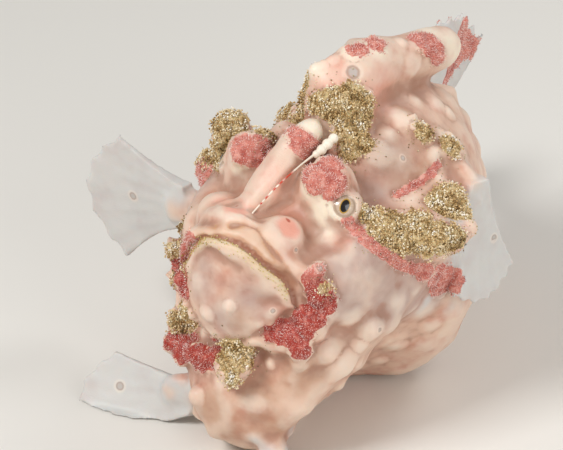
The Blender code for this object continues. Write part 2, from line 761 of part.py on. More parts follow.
def main():
    clear_scene()
    whole, jaw, lobe, spine = body(), lower_jaw(), third_spine(), second_spine()
    arms, fans, fins, balls = limbs(), hands(), median_fins(), eyes()
    rod, lure = lure_rod()

    grown_body = swollen(whole, GAP + 0.1)
    grown_jaw = swollen(jaw, GAP, 1800, 0.6)
    grown_arms = {name: swollen(obj, GAP, 600, 0.5) for name, obj in arms.items()}
    grown_spine = swollen(spine, GAP, 600, 0.5)

    thin_out(whole, BODY_TRIANGLES)
    rest_on_floor(whole)
    thin_out(jaw, JAW_TRIANGLES)
    thin_out(lobe, LOBE_TRIANGLES)
    thin_out(spine, SPINE_TRIANGLES)
    thin_out(lure, 140)
    for obj in arms.values():
        thin_out(obj, LIMB_TRIANGLES)

    sockets = []
    for side in SIDES.values():
        socket = ellipsoid(eye_centre(side), (EYE_RADIUS + GAP,) * 3, rings=9, sides=14)
        sockets.append(mesh_object("socket", *socket))
    pits = nostril_pits()
    carve(whole, grown_jaw, *sockets, *pits)
    stalk_way = (-0.50, 0.866, 0.0)
    stalk_middle = (-8.4, STALK_AT, -14.0)
    head, trunk, stalk = part_off(
        whole,
        ("head", "trunk", "tail_stalk"),
        ((0, NECK_AT, 0), stalk_middle),
        ((0, 1, -NECK_LEAN), stalk_way),
    )

    carve(lobe, grown_body)
    carve(spine, grown_body)
    carve(rod, grown_body, grown_spine)
    for name, obj in arms.items():
        carve(obj, grown_body)
        carve(fans[name.replace("arm", "fin").replace("limb", "fin")], grown_arms[name], grown_body)
    for obj in fins.values():
        carve(obj, grown_body)

    nodes = [head, jaw, trunk, stalk, lobe, spine, rod, lure]
    nodes += [*arms.values(), *fans.values(), *fins.values(), *balls.values()]
    for obj in list(bpy.data.objects):
        if obj not in nodes:
            bpy.data.objects.remove(obj, do_unlink=True)
    finish(nodes)


main()
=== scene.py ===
# A warty frogfish resting on its breast: one skin over the whole fish, wet eyes, folded lure, prickles, sand.
# Places are millimetres from the point midway between the eyes: +X is the fish's left, -Y its face, +Z up.
import math

import bpy
import numpy as np
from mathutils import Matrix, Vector, noise
from mathutils.bvhtree import BVHTree
from mathutils.geometry import barycentric_transform


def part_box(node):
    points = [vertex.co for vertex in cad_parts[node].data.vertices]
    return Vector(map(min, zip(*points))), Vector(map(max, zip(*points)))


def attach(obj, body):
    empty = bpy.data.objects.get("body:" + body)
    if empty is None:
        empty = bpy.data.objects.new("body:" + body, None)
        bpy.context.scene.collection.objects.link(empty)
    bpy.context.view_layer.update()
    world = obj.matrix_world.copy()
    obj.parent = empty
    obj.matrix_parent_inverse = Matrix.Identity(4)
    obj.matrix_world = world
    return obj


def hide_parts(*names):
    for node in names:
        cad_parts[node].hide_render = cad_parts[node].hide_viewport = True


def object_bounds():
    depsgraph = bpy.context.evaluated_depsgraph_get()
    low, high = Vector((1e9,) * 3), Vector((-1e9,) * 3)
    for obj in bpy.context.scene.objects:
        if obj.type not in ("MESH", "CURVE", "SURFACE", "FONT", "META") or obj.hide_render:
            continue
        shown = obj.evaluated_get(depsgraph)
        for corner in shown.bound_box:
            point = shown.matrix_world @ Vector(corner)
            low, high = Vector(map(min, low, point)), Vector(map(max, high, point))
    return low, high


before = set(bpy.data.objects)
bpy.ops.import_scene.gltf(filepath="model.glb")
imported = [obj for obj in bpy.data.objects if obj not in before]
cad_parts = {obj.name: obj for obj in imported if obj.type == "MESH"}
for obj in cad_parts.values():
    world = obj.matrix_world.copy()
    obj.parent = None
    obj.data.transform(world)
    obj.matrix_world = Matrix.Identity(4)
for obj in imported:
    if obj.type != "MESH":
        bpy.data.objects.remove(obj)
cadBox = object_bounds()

mm = 0.001

photo = {
    "width": 563,  # pixels
    "midEye": (287, 186),  # pixel of the point midway between the eyes
    "pixelsPerMm": 8.4,  # at that point
    "distance": 300.0,  # camera to that point, mm
    "azimuth": 42.0,
    "elevation": 27.0,
    "middle": (281.5, 225.0),
    "sightGap": 1.5,  # mm of skin that may stand before a place which still counts as seen
}


def boxMiddle(node):
    low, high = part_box(node)
    return (np.array(low) + np.array(high)) / 2


eyeHeight = np.array((0, 0.5, -0.2))  # the eyeballs' centres lie this far from the origin of places
origin = (boxMiddle("eye_left") + boxMiddle("eye_right")) / 2 - eyeHeight * mm
floorLevel = -origin[2] / mm
boxLow, boxHigh = (np.array(corner) for corner in cadBox)


def toFrame(points):
    return origin + np.asarray(points, float) * mm


def toFish(points):
    return (np.asarray(points, float) - origin) / mm


def viewAxes():
    a, e = math.radians(photo["azimuth"]), math.radians(photo["elevation"])
    right = np.array((math.cos(a), math.sin(a), 0))
    back = np.array((math.sin(a) * math.cos(e), -math.cos(a) * math.cos(e), math.sin(e)))
    return right, np.cross(back, right), back


def pixelRay(pixel):
    # where the camera stands and the way it looks at a pixel of the photograph
    right, up, back = viewAxes()
    dx, dy = np.subtract(pixel, photo["midEye"]) / photo["pixelsPerMm"]
    start = back * photo["distance"]
    return start, unit(right * dx - up * dy - start)


def unit(vector):
    vector = np.asarray(vector, float)
    return vector / np.linalg.norm(vector)


# Mesh helpers

def newObject(name, points, faces):
    mesh = bpy.data.meshes.new(name)
    mesh.from_pydata([tuple(map(float, p)) for p in points], [], faces)
    mesh.update()
    obj = bpy.data.objects.new(name, mesh)
    bpy.context.scene.collection.objects.link(obj)
    return obj


def rowsOf(collection, key):
    flat = np.empty(len(collection) * 3, np.float32)
    collection.foreach_get(key, flat)
    return flat.reshape(-1, 3).astype(float)


def pointsOf(obj):
    return rowsOf(obj.data.vertices, "co")


def normalsOf(obj):
    return rowsOf(obj.data.vertex_normals, "vector")


def setPoints(obj, points):
    obj.data.vertices.foreach_set("co", np.asarray(points, np.float32).ravel())
    obj.data.update()


def facesOf(obj):
    return [tuple(face.vertices) for face in obj.data.polygons]


def triangleCount(obj):
    return sum(len(face.vertices) - 2 for face in obj.data.polygons)


def distances(points, place):
    return np.linalg.norm(points - place, axis=1)


def swapMesh(obj, mesh):
    old = obj.data
    obj.data = mesh
    bpy.data.meshes.remove(old)


def bakeModifiers(obj):
    bpy.context.view_layer.update()
    graph = bpy.context.evaluated_depsgraph_get()
    made = bpy.data.meshes.new_from_object(obj.evaluated_get(graph))
    obj.modifiers.clear()
    swapMesh(obj, made)


def voxelSkin(obj, size):
    remesh = obj.modifiers.new("voxels", "REMESH")
    remesh.mode = "VOXEL"
    remesh.voxel_size = size
    bakeModifiers(obj)


def decimate(obj, ratio, group=""):
    thin = obj.modifiers.new("thin", "DECIMATE")
    thin.ratio = ratio
    thin.vertex_group = group
    thin.vertex_group_factor = 1.0
    bakeModifiers(obj)


def edgesOf(obj):
    edges = np.empty(len(obj.data.edges) * 2, np.int32)
    obj.data.edges.foreach_get("vertices", edges)
    return edges.reshape(-1, 2).T


def neighbourMean(values, edges):
    # mean of each point's neighbours, for rows of numbers
    a, b = edges
    count = np.bincount(a, minlength=len(values)) + np.bincount(b, minlength=len(values))
    total = np.empty_like(values)
    for k in range(values.shape[1]):
        total[:, k] = np.bincount(a, values[b, k], len(values)) + np.bincount(b, values[a, k], len(values))
    return total / np.maximum(count, 1)[:, None]


def ease(obj, steps, weight=1.0):
    # rounds the surface off without shrinking it much
    edges, points = edgesOf(obj), pointsOf(obj)
    weight = np.broadcast_to(np.asarray(weight, float).reshape(-1, 1), (len(points), 1))
    for step in range(2 * steps):
        share = 0.6 if step % 2 == 0 else -0.62  # a step in, then a slightly longer one out
        points = points + share * weight * (neighbourMean(points, edges) - points)
    setPoints(obj, points)


def catmull(places, share):
    # a smooth line through the places, at a share from 0 to 1 of its length in steps
    places = np.asarray(places, float)
    at = share * (len(places) - 1)
    k = min(int(at), len(places) - 2)
    t = at - k
    a, b, c, d = (places[min(max(k + j, 0), len(places) - 1)] for j in (-1, 0, 1, 2))
    return 0.5 * (2 * b + (c - a) * t + (2 * a - 5 * b + 4 * c - d) * t**2 + (3 * b - a - 3 * c + d) * t**3)


def joined(name, parts):
    points, faces, start = [], [], 0
    for partPoints, partFaces in parts:
        points.append(partPoints)
        faces += [tuple(start + i for i in face) for face in partFaces]
        start += len(partPoints)
    return newObject(name, np.vstack(points), faces)


def weldedCopy(node):
    # a CAD node's surface in fish millimetres, its loose triangles joined up
    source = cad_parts[node]
    points = toFish(pointsOf(source))
    key = np.round(points / 0.002).astype(np.int64)
    _, first, index = np.unique(key, axis=0, return_index=True, return_inverse=True)
    index = index.ravel()
    faces = []
    for face in source.data.polygons:
        corners = tuple(int(index[v]) for v in face.vertices)
        if len(set(corners)) == len(corners):
            faces.append(corners)
    return points[first], faces


# The skin

skinPlan = {
    "bridge": 0.22,  # each node grows by this so that the gaps between them close
    "coarseVoxel": 0.5,
    "voxel": 0.33,
    "easing": 14,
    "calmBehind": (2, 8),  # mm behind the eyes where the body's bumps get lower, and over how far
    "calmSteps": 10,
    "bodyEasing": 3,
    "finEasing": 8,
    "finSpread": (1.8, 2.2, 8),  # strength and reach in mm of the fins' share, and its blending steps
    "triangles": 194000,
    "thinBehind": (4, 8),  # mm behind the eyes where the mesh starts to get coarser, and over how far
    "thinAbove": 12,
    "thinLevels": 4,
    "lid": 0.12,  # the skin over the eyeballs
    "window": (1.5, 1.2),  # mm from the pupil's middle, where the lid ends
    "lidRim": (0.1, 0.15, 0.22),  # height, shift and width of the fold round the window
    "lidReach": 0.7,
    "lidSink": 0.4,
}

eyeLook = {
    "radius": 2.4,
    "span": 16.4,
    "pupilPixel": (345, 206),
    "pupilHalf": (0.46, 0.74),  # mm
    "pupilLean": 22.0,  # degrees from upright
    "cornea": 0.05,  # how far the front bulges, as a share of the radius
    "rings": (44, 64),
    "pupil": "0e0705", "gold": "b58a2c",
    "window": "c0a892", "streak": "d2bda6", "rim": "e2ccb8", "ring": "ae9580",
}

fins = ("pectoral_fin_left", "pectoral_fin_right", "pelvic_fin_left", "pelvic_fin_right",
        "dorsal_fin", "anal_fin", "tail_fin")
ownPieces = ("eye_left", "eye_right", "illicium", "lure")
fleshNodes = [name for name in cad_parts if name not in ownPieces]
sides = {"eye_left": 1, "eye_right": -1}


def eyeCentre(side):
    return eyeHeight + (side * eyeLook["span"] / 2, 0, 0)


def pupilAim(side):
    start, way = pixelRay(eyeLook["pupilPixel"])
    reach = eyeCentre(1) - start
    nearest = reach @ way
    depth = math.sqrt(max(eyeLook["radius"]**2 - (reach @ reach - nearest**2), 0.0))
    aim = start + way * (nearest - depth) - eyeCentre(1)
    return unit(aim * (side, 1, 1))


def dome(centre, radius, aim, rings, sides):
    # a ball whose pole faces along aim; also gives each point's place across the pole, in mm
    aim = unit(aim)
    up = unit(np.array((0.0, 0.1, 1)) - aim * (aim[2] + 0.1 * aim[1]))
    side = np.cross(up, aim)
    points, flat = [aim * radius], [(0.0, 0.0)]
    for ring in range(1, rings):
        polar = math.pi * (ring / rings)**1.15  # the rings lie closer together round the pole
        for k in range(sides):
            angle = 2 * math.pi * k / sides
            outward = side * math.cos(angle) + up * math.sin(angle)
            points.append((aim * math.cos(polar) + outward * math.sin(polar)) * radius)
            flat.append((polar * radius * math.cos(angle), polar * radius * math.sin(angle)))
    points.append(-aim * radius)
    flat.append((math.pi * radius, 0.0))
    faces = [(0, 1 + k, 1 + (k + 1) % sides) for k in range(sides)]
    for ring in range(rings - 2):
        for k in range(sides):
            a, b = 1 + ring * sides + k, 1 + ring * sides + (k + 1) % sides
            faces.append((a, a + sides, b + sides, b))
    last = len(points) - 1
    faces += [(last, last - sides + (k + 1) % sides, last - sides + k) for k in range(sides)]
    return np.array(points) + centre, faces, np.array(flat)


def grown(points, faces, by):
    helper = newObject("helper", points, faces)
    out = pointsOf(helper) + normalsOf(helper) * by
    bpy.data.objects.remove(helper)
    return out, faces


def largestPart(points, faces):
    # drops loose shells, such as the hollows left where nodes met
    label = np.arange(len(points))
    quads = np.array([face if len(face) == 4 else face + face[-1:] for face in faces])
    pairs = np.vstack([quads[:, [0, 1]], quads[:, [1, 2]], quads[:, [2, 3]]])
    while True:
        low = np.minimum(label[pairs[:, 0]], label[pairs[:, 1]])
        fresh = label.copy()
        np.minimum.at(fresh, pairs[:, 0], low)
        np.minimum.at(fresh, pairs[:, 1], low)
        fresh = fresh[fresh]
        if (fresh == label).all():
            break
        label = fresh
    keep = label == np.bincount(label).argmax()
    index = np.cumsum(keep) - 1
    return points[keep], [tuple(int(index[v]) for v in face) for face in faces if keep[face[0]]]


def keepLargest(obj):
    kept = newObject(obj.name, *largestPart(pointsOf(obj), facesOf(obj)))
    swapMesh(obj, kept.data)
    bpy.data.objects.remove(kept)


def smoothed(points, edges, weight, steps):
    for _ in range(steps):
        points = points + weight * (neighbourMean(points, edges) - points)
    return points


def calmRear(obj):
    # lowers the bumps of the flanks and the rear
    points = pointsOf(obj)
    behind, over = skinPlan["calmBehind"]
    weight = 0.6 * np.clip((points[:, 1:2] - behind) / over, 0, 1)
    setPoints(obj, smoothed(points, edgesOf(obj), weight, skinPlan["calmSteps"]))


def fuseBody():
    parts = [grown(*weldedCopy(name), skinPlan["bridge"]) for name in fleshNodes if name not in fins]
    body = joined("bodyForm", parts)
    voxelSkin(body, skinPlan["coarseVoxel"])
    keepLargest(body)
    ease(body, skinPlan["easing"])
    calmRear(body)
    return body


def closeness(points, name, reach):
    # 1 on a CAD node, fading to 0 at that many millimetres away
    near = np.zeros(len(points))
    tree = BVHTree.FromPolygons(*[list(map(tuple, part)) for part in weldedCopy(name)])
    low, high = (toFish(corner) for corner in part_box(name))
    inside = ((points > low - reach) & (points < high + reach)).all(axis=1)
    for i in np.where(inside)[0]:
        place, normal, index, away = tree.find_nearest(Vector(points[i]))
        out = (points[i] - np.array(place)) @ np.array(normal)
        near[i] = 1.0 if out < 0 else max(0.0, 1 - away / reach)
    return near


def finMask(obj):
    # 1 on the fins, fading out over their roots
    points, edges = pointsOf(obj), edgesOf(obj)
    gain, reach, steps = skinPlan["finSpread"]
    near = np.clip(gain * np.max([closeness(points, name, reach) for name in fins], axis=0), 0, 1)[:, None]
    for _ in range(steps):
        near = 0.4 * near + 0.6 * neighbourMean(near, edges)
    return near[:, 0]


def openEyes(points):
    # sinks the skin below the eyeball round each pupil, which leaves a round lid
    wide, narrow = skinPlan["window"]
    rise, shift, width = skinPlan["lidRim"]
    for side in sides.values():
        centre, aim = eyeCentre(side), pupilAim(side)
        reach = distances(points, centre)
        facing = (points - centre) @ aim / reach
        outward = (points - centre) / reach[:, None]
        near = reach < eyeLook["radius"] + skinPlan["lidReach"]
        flat = np.arccos(np.clip(facing, -1, 1)) * eyeLook["radius"]
        sink = np.clip((wide - flat) / (wide - narrow), 0, 1) * near
        rim = rise * np.exp(-((flat - wide - shift) / width)**2) * near
        bulge = 1 + eyeLook["cornea"] * np.clip(facing, 0, 1)**8
        goal = centre + outward * (eyeLook["radius"] * bulge - skinPlan["lidSink"])[:, None]
        points = points + (goal - points) * sink[:, None] + outward * rim[:, None]
    return points


hands = {  # wrist, way out, way across, rays' angles and lengths, palm, bow, thickness, flesh, flare
    "pectoral_fin_right": ((-23.4, 4.1, -12.0), (-1, -0.12, -0.12), (0, -0.06, 1),
                           (-46, 50), (13.4, 14.2, 11.0), 3.2, 0.8, 0.75, 1.1, 0.8),
    "pectoral_fin_left": ((14.5, 18.0, -4.2), (0.14, -0.08, -1), (0.1, 1, 0),
                          (-22, 34), (11.8, 13.0, 11.4), 1.8, -0.6, 0.75, 0.9, 0.5),
    "pelvic_fin_right": ((-11.2, -8.8, -29.6), (-0.92, -0.36, -0.12), (0.1, 0.5, 0.86),
                         (-46, 30), (7.8, 13.0, 9.6), 2.4, 0.8, 0.85, 0.9, 0.3),
    "pelvic_fin_left": ((8.5, -10.2, -31.3), (1, -0.34, -0.10), (0.34, 1, 0.1),
                        (-44, 34), (8.6, 10.2, 9.0), 1.6, 0.5, 0.85, 0.8, 0.3),
}
handRays = {"count": 7, "scallop": 0.03, "ridge": 0.22, "rows": 12, "between": 6, "sink": 3.0}


def handForm(wrist, out, across, angles, lengths, palm, bow, thickness, flesh, flare):
    # a fleshy, hand-like fin: low ridges along its rays and a gently waved edge
    wrist, out = np.array(wrist), unit(out)
    across = unit(np.array(across) - out * np.dot(across, out))
    face = np.cross(out, across)
    widest = math.sin(math.radians(max(map(abs, angles))))
    columns = (handRays["count"] - 1) * handRays["between"]
    middle = np.empty((columns + 1, handRays["rows"] + 1, 3))
    half = np.empty((columns + 1, handRays["rows"] + 1))
    for i in range(columns + 1):
        share = i / columns
        web = math.sin(math.pi * i / handRays["between"])**2
        angle = math.radians(angles[0] + (angles[1] - angles[0]) * share)
        length = catmull([(value, 0, 0) for value in lengths], share)[0]
        root = wrist + across * palm * math.sin(angle) / widest - out * handRays["sink"]
        tip = wrist + length * (out * math.cos(angle) + across * math.sin(angle))
        bend = 0.5 * (root + tip - across * flare * ((tip - root) @ across)) + face * bow
        for k in range(handRays["rows"] + 1):
            t = k / handRays["rows"] * (1 - handRays["scallop"] * web)
            middle[i, k] = root * (1 - t)**2 + 2 * bend * t * (1 - t) + tip * t**2
            body = thickness * (1 - 0.4 * t) + flesh * (1 - t)**2
            half[i, k] = 0.5 * (body + handRays["ridge"] * (1 - web) * (1 - 0.4 * t))
    normal = np.cross(np.gradient(middle, axis=0), np.gradient(middle, axis=1))
    normal /= np.linalg.norm(normal, axis=2)[:, :, None]
    row, size = handRays["rows"] + 1, (columns + 1) * (handRays["rows"] + 1)
    faces = []
    for i in range(columns):
        for k in range(row - 1):
            a, b = i * row + k, (i + 1) * row + k
            faces += [(a, b, b + 1, a + 1), (a + size, a + size + 1, b + size + 1, b + size)]
    rim = [i * row for i in range(columns + 1)] + [columns * row + k for k in range(1, row)]
    rim += [i * row + row - 1 for i in range(columns - 1, -1, -1)] + list(range(row - 2, 0, -1))
    faces += [(a, a + size, b + size, b) for a, b in zip(rim, rim[1:] + rim[:1])]
    offset = normal * half[:, :, None]
    points = np.vstack([(middle + offset).reshape(-1, 3), (middle - offset).reshape(-1, 3)])
    points[:, 2] = np.maximum(points[:, 2], floorLevel + skinPlan["bridge"])
    return points, faces


def fuseSkin(body):
    parts = [(pointsOf(body), facesOf(body))]
    parts += [grown(*weldedCopy(name), skinPlan["bridge"]) for name in fins if name not in hands]
    parts += [grown(*handForm(*plan), skinPlan["bridge"]) for plan in hands.values()]
    ball = eyeLook["radius"] + skinPlan["lid"] + 0.9 * skinPlan["bridge"]
    parts += [dome(eyeCentre(side), ball, pupilAim(side), 24, 32)[:2] for side in sides.values()]
    skin = joined("frogfishSkin", parts)
    bpy.data.objects.remove(body)
    voxelSkin(skin, skinPlan["voxel"])
    keepLargest(skin)
    ease(skin, skinPlan["bodyEasing"])
    ease(skin, skinPlan["finEasing"], finMask(skin))
    setPoints(skin, pointsOf(skin) - normalsOf(skin) * skinPlan["bridge"] * 0.9)
    return skin


body = fuseBody()
skin = fuseSkin(body)
print("skin fused:", len(skin.data.vertices), "points")


# Finding places on the skin

def lookup(obj):
    return BVHTree.FromPolygons([Vector(p) for p in pointsOf(obj)], facesOf(obj))


skinTree = lookup(skin)


def onSkin(pixel):
    # the skin's place under a pixel of the photograph
    start, way = pixelRay(pixel)
    place = skinTree.ray_cast(Vector(start), Vector(way))[0]
    if place is None:
        place = skinTree.find_nearest(Vector(start + way * photo["distance"]))[0]
    return np.array(place)


def trace(pixels):
    return [onSkin(pixel) for pixel in pixels]


def seen(place):
    # whether the camera sees that place
    start = viewAxes()[2] * photo["distance"]
    hit = skinTree.ray_cast(Vector(start), Vector(unit(place - start)))[0]
    return hit is not None and (hit - Vector(place)).length < photo["sightGap"]


mirrorRule = {"fromMiddle": 3, "reach": 4}  # mm


def mirrored(spots):
    # the same spots on the fish's other side, where the camera doesn't see them
    out = []
    for place, *sizes in spots:
        if place[0] < mirrorRule["fromMiddle"]:
            continue
        other, normal, index, away = skinTree.find_nearest(Vector((-place[0], place[1], place[2])))
        if away < mirrorRule["reach"] and not seen(np.array(other)):
            out.append((np.array(other), *sizes))
    return out


def wobble(points, scale, seed):
    shift = Vector((seed * 7.3, seed * 3.1, seed * 5.7))
    return np.array([noise.noise(Vector(p) * scale + shift) for p in points])


def pathDistance(points, path):
    # distance of every point from a line through the places
    best = np.full(len(points), 1e9)
    for a, b in zip(path, path[1:]):
        span = b - a
        share = np.clip(((points - a) @ span) / max(span @ span, 1e-9), 0, 1)
        best = np.minimum(best, np.linalg.norm(points - a - share[:, None] * span, axis=1))
    return best


def fadeOut(away, reach):
    return np.clip(1 - (away / reach)**2, 0, None)


# Markings: photo pixel and radius in mm

markings = {
    "crimson": [
        (246, 148, 2.2), (260, 151, 2.1),
        (310, 172, 1.5), (325, 165, 1.6), (336, 160, 1.4), (318, 182, 1.8), (332, 180, 2.0), (341, 182, 1.4),
        (333, 193, 1.3),
        (425, 42, 1.9), (437, 52, 1.7), (418, 37, 1.3),
        (355, 36, 1.4), (377, 41, 1.4), (200, 172, 2.2),
        (318, 268, 1.0), (314, 280, 1.4), (318, 292, 1.8), (322, 303, 1.8), (312, 316, 1.8), (302, 326, 1.9),
        (286, 333, 1.8), (272, 332, 1.2), (297, 344, 1.4), (302, 354, 1.2),
        (191, 240, 0.9), (184, 252, 1.0), (180, 264, 1.1), (181, 278, 1.1), (184, 290, 1.0),
        (172, 342, 1.6), (184, 350, 1.8), (196, 358, 1.8), (208, 356, 1.7), (216, 350, 1.4), (188, 338, 1.3),
        (426, 272, 1.2), (438, 276, 1.6), (450, 280, 1.8), (441, 288, 1.6),
    ],
    "sand": [
        (286, 113, 1.4), (300, 111, 1.6), (318, 106, 1.8), (335, 100, 1.8), (352, 98, 2.0), (366, 106, 1.6),
        (340, 115, 2.0), (358, 118, 2.0), (345, 130, 1.8), (358, 140, 2.0), (350, 150, 1.4), (272, 120, 1.3),
        (228, 125, 2.6), (222, 150, 2.0),
        (175, 250, 1.3), (177, 276, 1.3), (160, 279, 1.3), (177, 321, 1.5), (165, 324, 1.5), (190, 325, 1.0),
        (232, 352, 2.0), (244, 356, 1.6), (232, 366, 1.5), (232, 380, 1.0),
        (324, 289, 0.8),
        (372, 214, 1.6), (382, 228, 2.0), (396, 236, 2.2), (412, 240, 2.4), (428, 240, 2.4), (444, 238, 2.2),
        (456, 238, 1.8), (400, 222, 2.0), (418, 222, 1.8), (440, 205, 2.0), (452, 198, 2.2), (460, 208, 2.0),
        (452, 145, 1.6), (458, 100, 1.4),
    ],
    "ivory": [
        (452, 42, 1.6), (458, 56, 2.0), (450, 70, 1.6), (425, 29, 1.2), (380, 50, 1.2), (352, 52, 1.2),
        (313, 68, 1.4), (325, 212, 2.2), (310, 195, 1.3), (240, 170, 1.5), (326, 226, 1.6), (343, 224, 0.9),
    ],
    "mauve": [
        (372, 255, 4.0), (345, 270, 3.0), (395, 290, 5.0), (350, 300, 3.5), (420, 300, 4.0), (330, 250, 2.0),
        (372, 195, 3.0), (200, 285, 2.0), (203, 265, 1.5), (225, 320, 2.4), (250, 300, 2.4), (390, 160, 3.5),
    ],
    # painted shade in brown: under the spine's lobe, on the flank, under the eye, on the breast and under the
    # chin
    "brown": [
        (397, 142, 1.8), (404, 152, 1.4), (430, 132, 1.3), (420, 148, 1.6), (330, 240, 1.6), (318, 240, 1.2),
        (405, 110, 1.6), (425, 120, 1.1), (170, 415, 3.0), (215, 420, 4.0), (255, 385, 3.0), (300, 375, 3.0),
        (268, 428, 3.0), (415, 85, 2.0), (385, 95, 2.0),
        (400, 166, 2.8), (385, 150, 2.2), (372, 122, 2.2), (422, 166, 1.8), (240, 322, 1.6),
    ],
    "pink": [
        (288, 229, 1.4), (243, 205, 1.2), (222, 200, 1.3), (290, 215, 1.4), (275, 180, 2.0), (340, 230, 2.0),
        (380, 90, 3.0), (330, 70, 2.5),
    ],
    "lip": [
        (225, 229, 1.2), (238, 230, 1.2), (252, 235, 1.2), (262, 248, 1.2), (271, 260, 1.1), (280, 272, 1.1),
        (288, 284, 1.0), (212, 231, 1.0), (200, 234, 0.9),
    ],
}
crimsonSeams = [  # pixels along each and half width in mm
    ([(347, 219), (356, 230), (366, 240), (378, 249), (390, 258), (402, 265), (414, 269), (430, 273)], 0.75),
    ([(397, 195), (408, 189), (420, 182), (430, 174), (439, 163)], 0.5),
    ([(191, 238), (184, 252), (180, 266), (181, 280), (186, 292)], 0.9),
]
softness = {"crimson": 0.5, "sand": 0.6, "ivory": 1.8, "mauve": 4.0, "brown": 2.2, "pink": 1.8, "lip": 0.9}
sidesAlike = ("crimson", "sand", "ivory", "mauve", "brown")
maskPlan = {  # mm
    "ragged": ((0.45, 1.1), (0.2, 2.7)),  # depth and fineness of the two waves along a spot's edge
    "seamWave": 0.3, "seamEdge": 0.5,
    "dust": (2.2, 0.3),  # how far it lies around the sand, and its edge
    "deep": (-4, 2, 3),  # painted shade that darkens the red low on the jaw: below this, before this, and its edge
    "fringe": 0.6,
}

nostrilSlits = [(289, 221), (287, 219), (237, 206)]
eyeSpots = [  # pixel and radius in mm
    (353, 72, 0.95), (372, 212, 0.55), (320, 268, 0.5), (403, 158, 0.4), (296, 250, 0.3), (133, 196, 0.6),
    (120, 386, 0.6), (494, 238, 0.5), (380, 330, 0.35), (273, 311, 0.35),
]
spineAxis = {
    "root": (0, -5.8, -2.0), "way": (1.2, 10.0, 9.8), "band": (8.6, 11.9), "end": 14.6, "width": 2.6,
    "soft": (0.4, 0.35, 0.3),  # edges of the spine, the band and the tip
}
mouthLine = [(183, 263), (190, 247), (203, 236), (219, 236), (239, 243), (253, 253), (263, 262), (274, 270),
             (285, 278), (292, 291), (297, 308)]

lipFringe = [(186, 262), (193, 249), (204, 240), (219, 240), (237, 247), (250, 257), (260, 267), (271, 275),
             (281, 283), (287, 294)]


def placesOf(name):
    spots = [(onSkin(spot[:2]), spot[2]) for spot in markings[name]]
    return spots + (mirrored(spots) if name in sidesAlike else [])


def depthInside(points, spots, seed):
    # how far each point lies inside the nearest spot, in mm, with an uneven edge
    inside = np.full(len(points), -9.0)  # far outside
    for place, radius in spots:
        inside = np.maximum(inside, radius - distances(points, place))
    (broad, size), (fine, small) = maskPlan["ragged"]
    return inside + broad * wobble(points, size, seed) + fine * wobble(points, small, seed + 1)


def spineMasks(points):
    # the crimson band of the second spine and its pale tip
    offset = points - np.array(spineAxis["root"])
    along = offset @ unit(spineAxis["way"])
    aside = np.linalg.norm(offset - along[:, None] * unit(spineAxis["way"]), axis=1)
    side, edge, cap = spineAxis["soft"]
    on = np.clip((spineAxis["width"] - aside) / side, 0, 1)
    start, end = spineAxis["band"]
    band = np.clip((along - start) / edge, 0, 1) * np.clip((end - along) / edge, 0, 1)
    tip = np.clip((along - end) / cap, 0, 1) * np.clip((spineAxis["end"] - along) / cap, 0, 1)
    return band * on, tip * on


def markPoints(points):
    places = {name: placesOf(name) for name in markings}
    depths = {name: depthInside(points, places[name], k * 3) for k, name in enumerate(markings)}
    masks = {name: np.clip(0.5 + depths[name] / softness[name], 0, 1) for name in markings}
    band, tip = spineMasks(points)
    for pixels, width in crimsonSeams:
        away = pathDistance(points, trace(pixels)) + maskPlan["seamWave"] * wobble(points, 1.3, 17)
        band = np.maximum(band, np.clip(0.5 + (width - away) / maskPlan["seamEdge"], 0, 1))
    masks["crimson"] = np.maximum(masks["crimson"], band)
    masks["ivory"] = np.maximum(masks["ivory"], tip)
    masks["sand"] *= 1 - np.maximum(band, tip)
    reach, edge = maskPlan["dust"]
    outside = np.clip(-depths["sand"] / edge, 0, 1)
    masks["dust"] = np.clip(1 + depths["sand"] / reach, 0, 1) * outside * (1 - tip)
    # painted shade low on the front of the fish
    below, before, over = maskPlan["deep"]
    masks["deep"] = np.clip((below - points[:, 2]) / over, 0, 1)
    masks["deep"] *= np.clip((before - points[:, 1]) / over, 0, 1)
    masks["fringe"] = np.exp(-(pathDistance(points, trace(lipFringe)) / maskPlan["fringe"])**2)
    return masks


# Warts, folds and pits of the skin

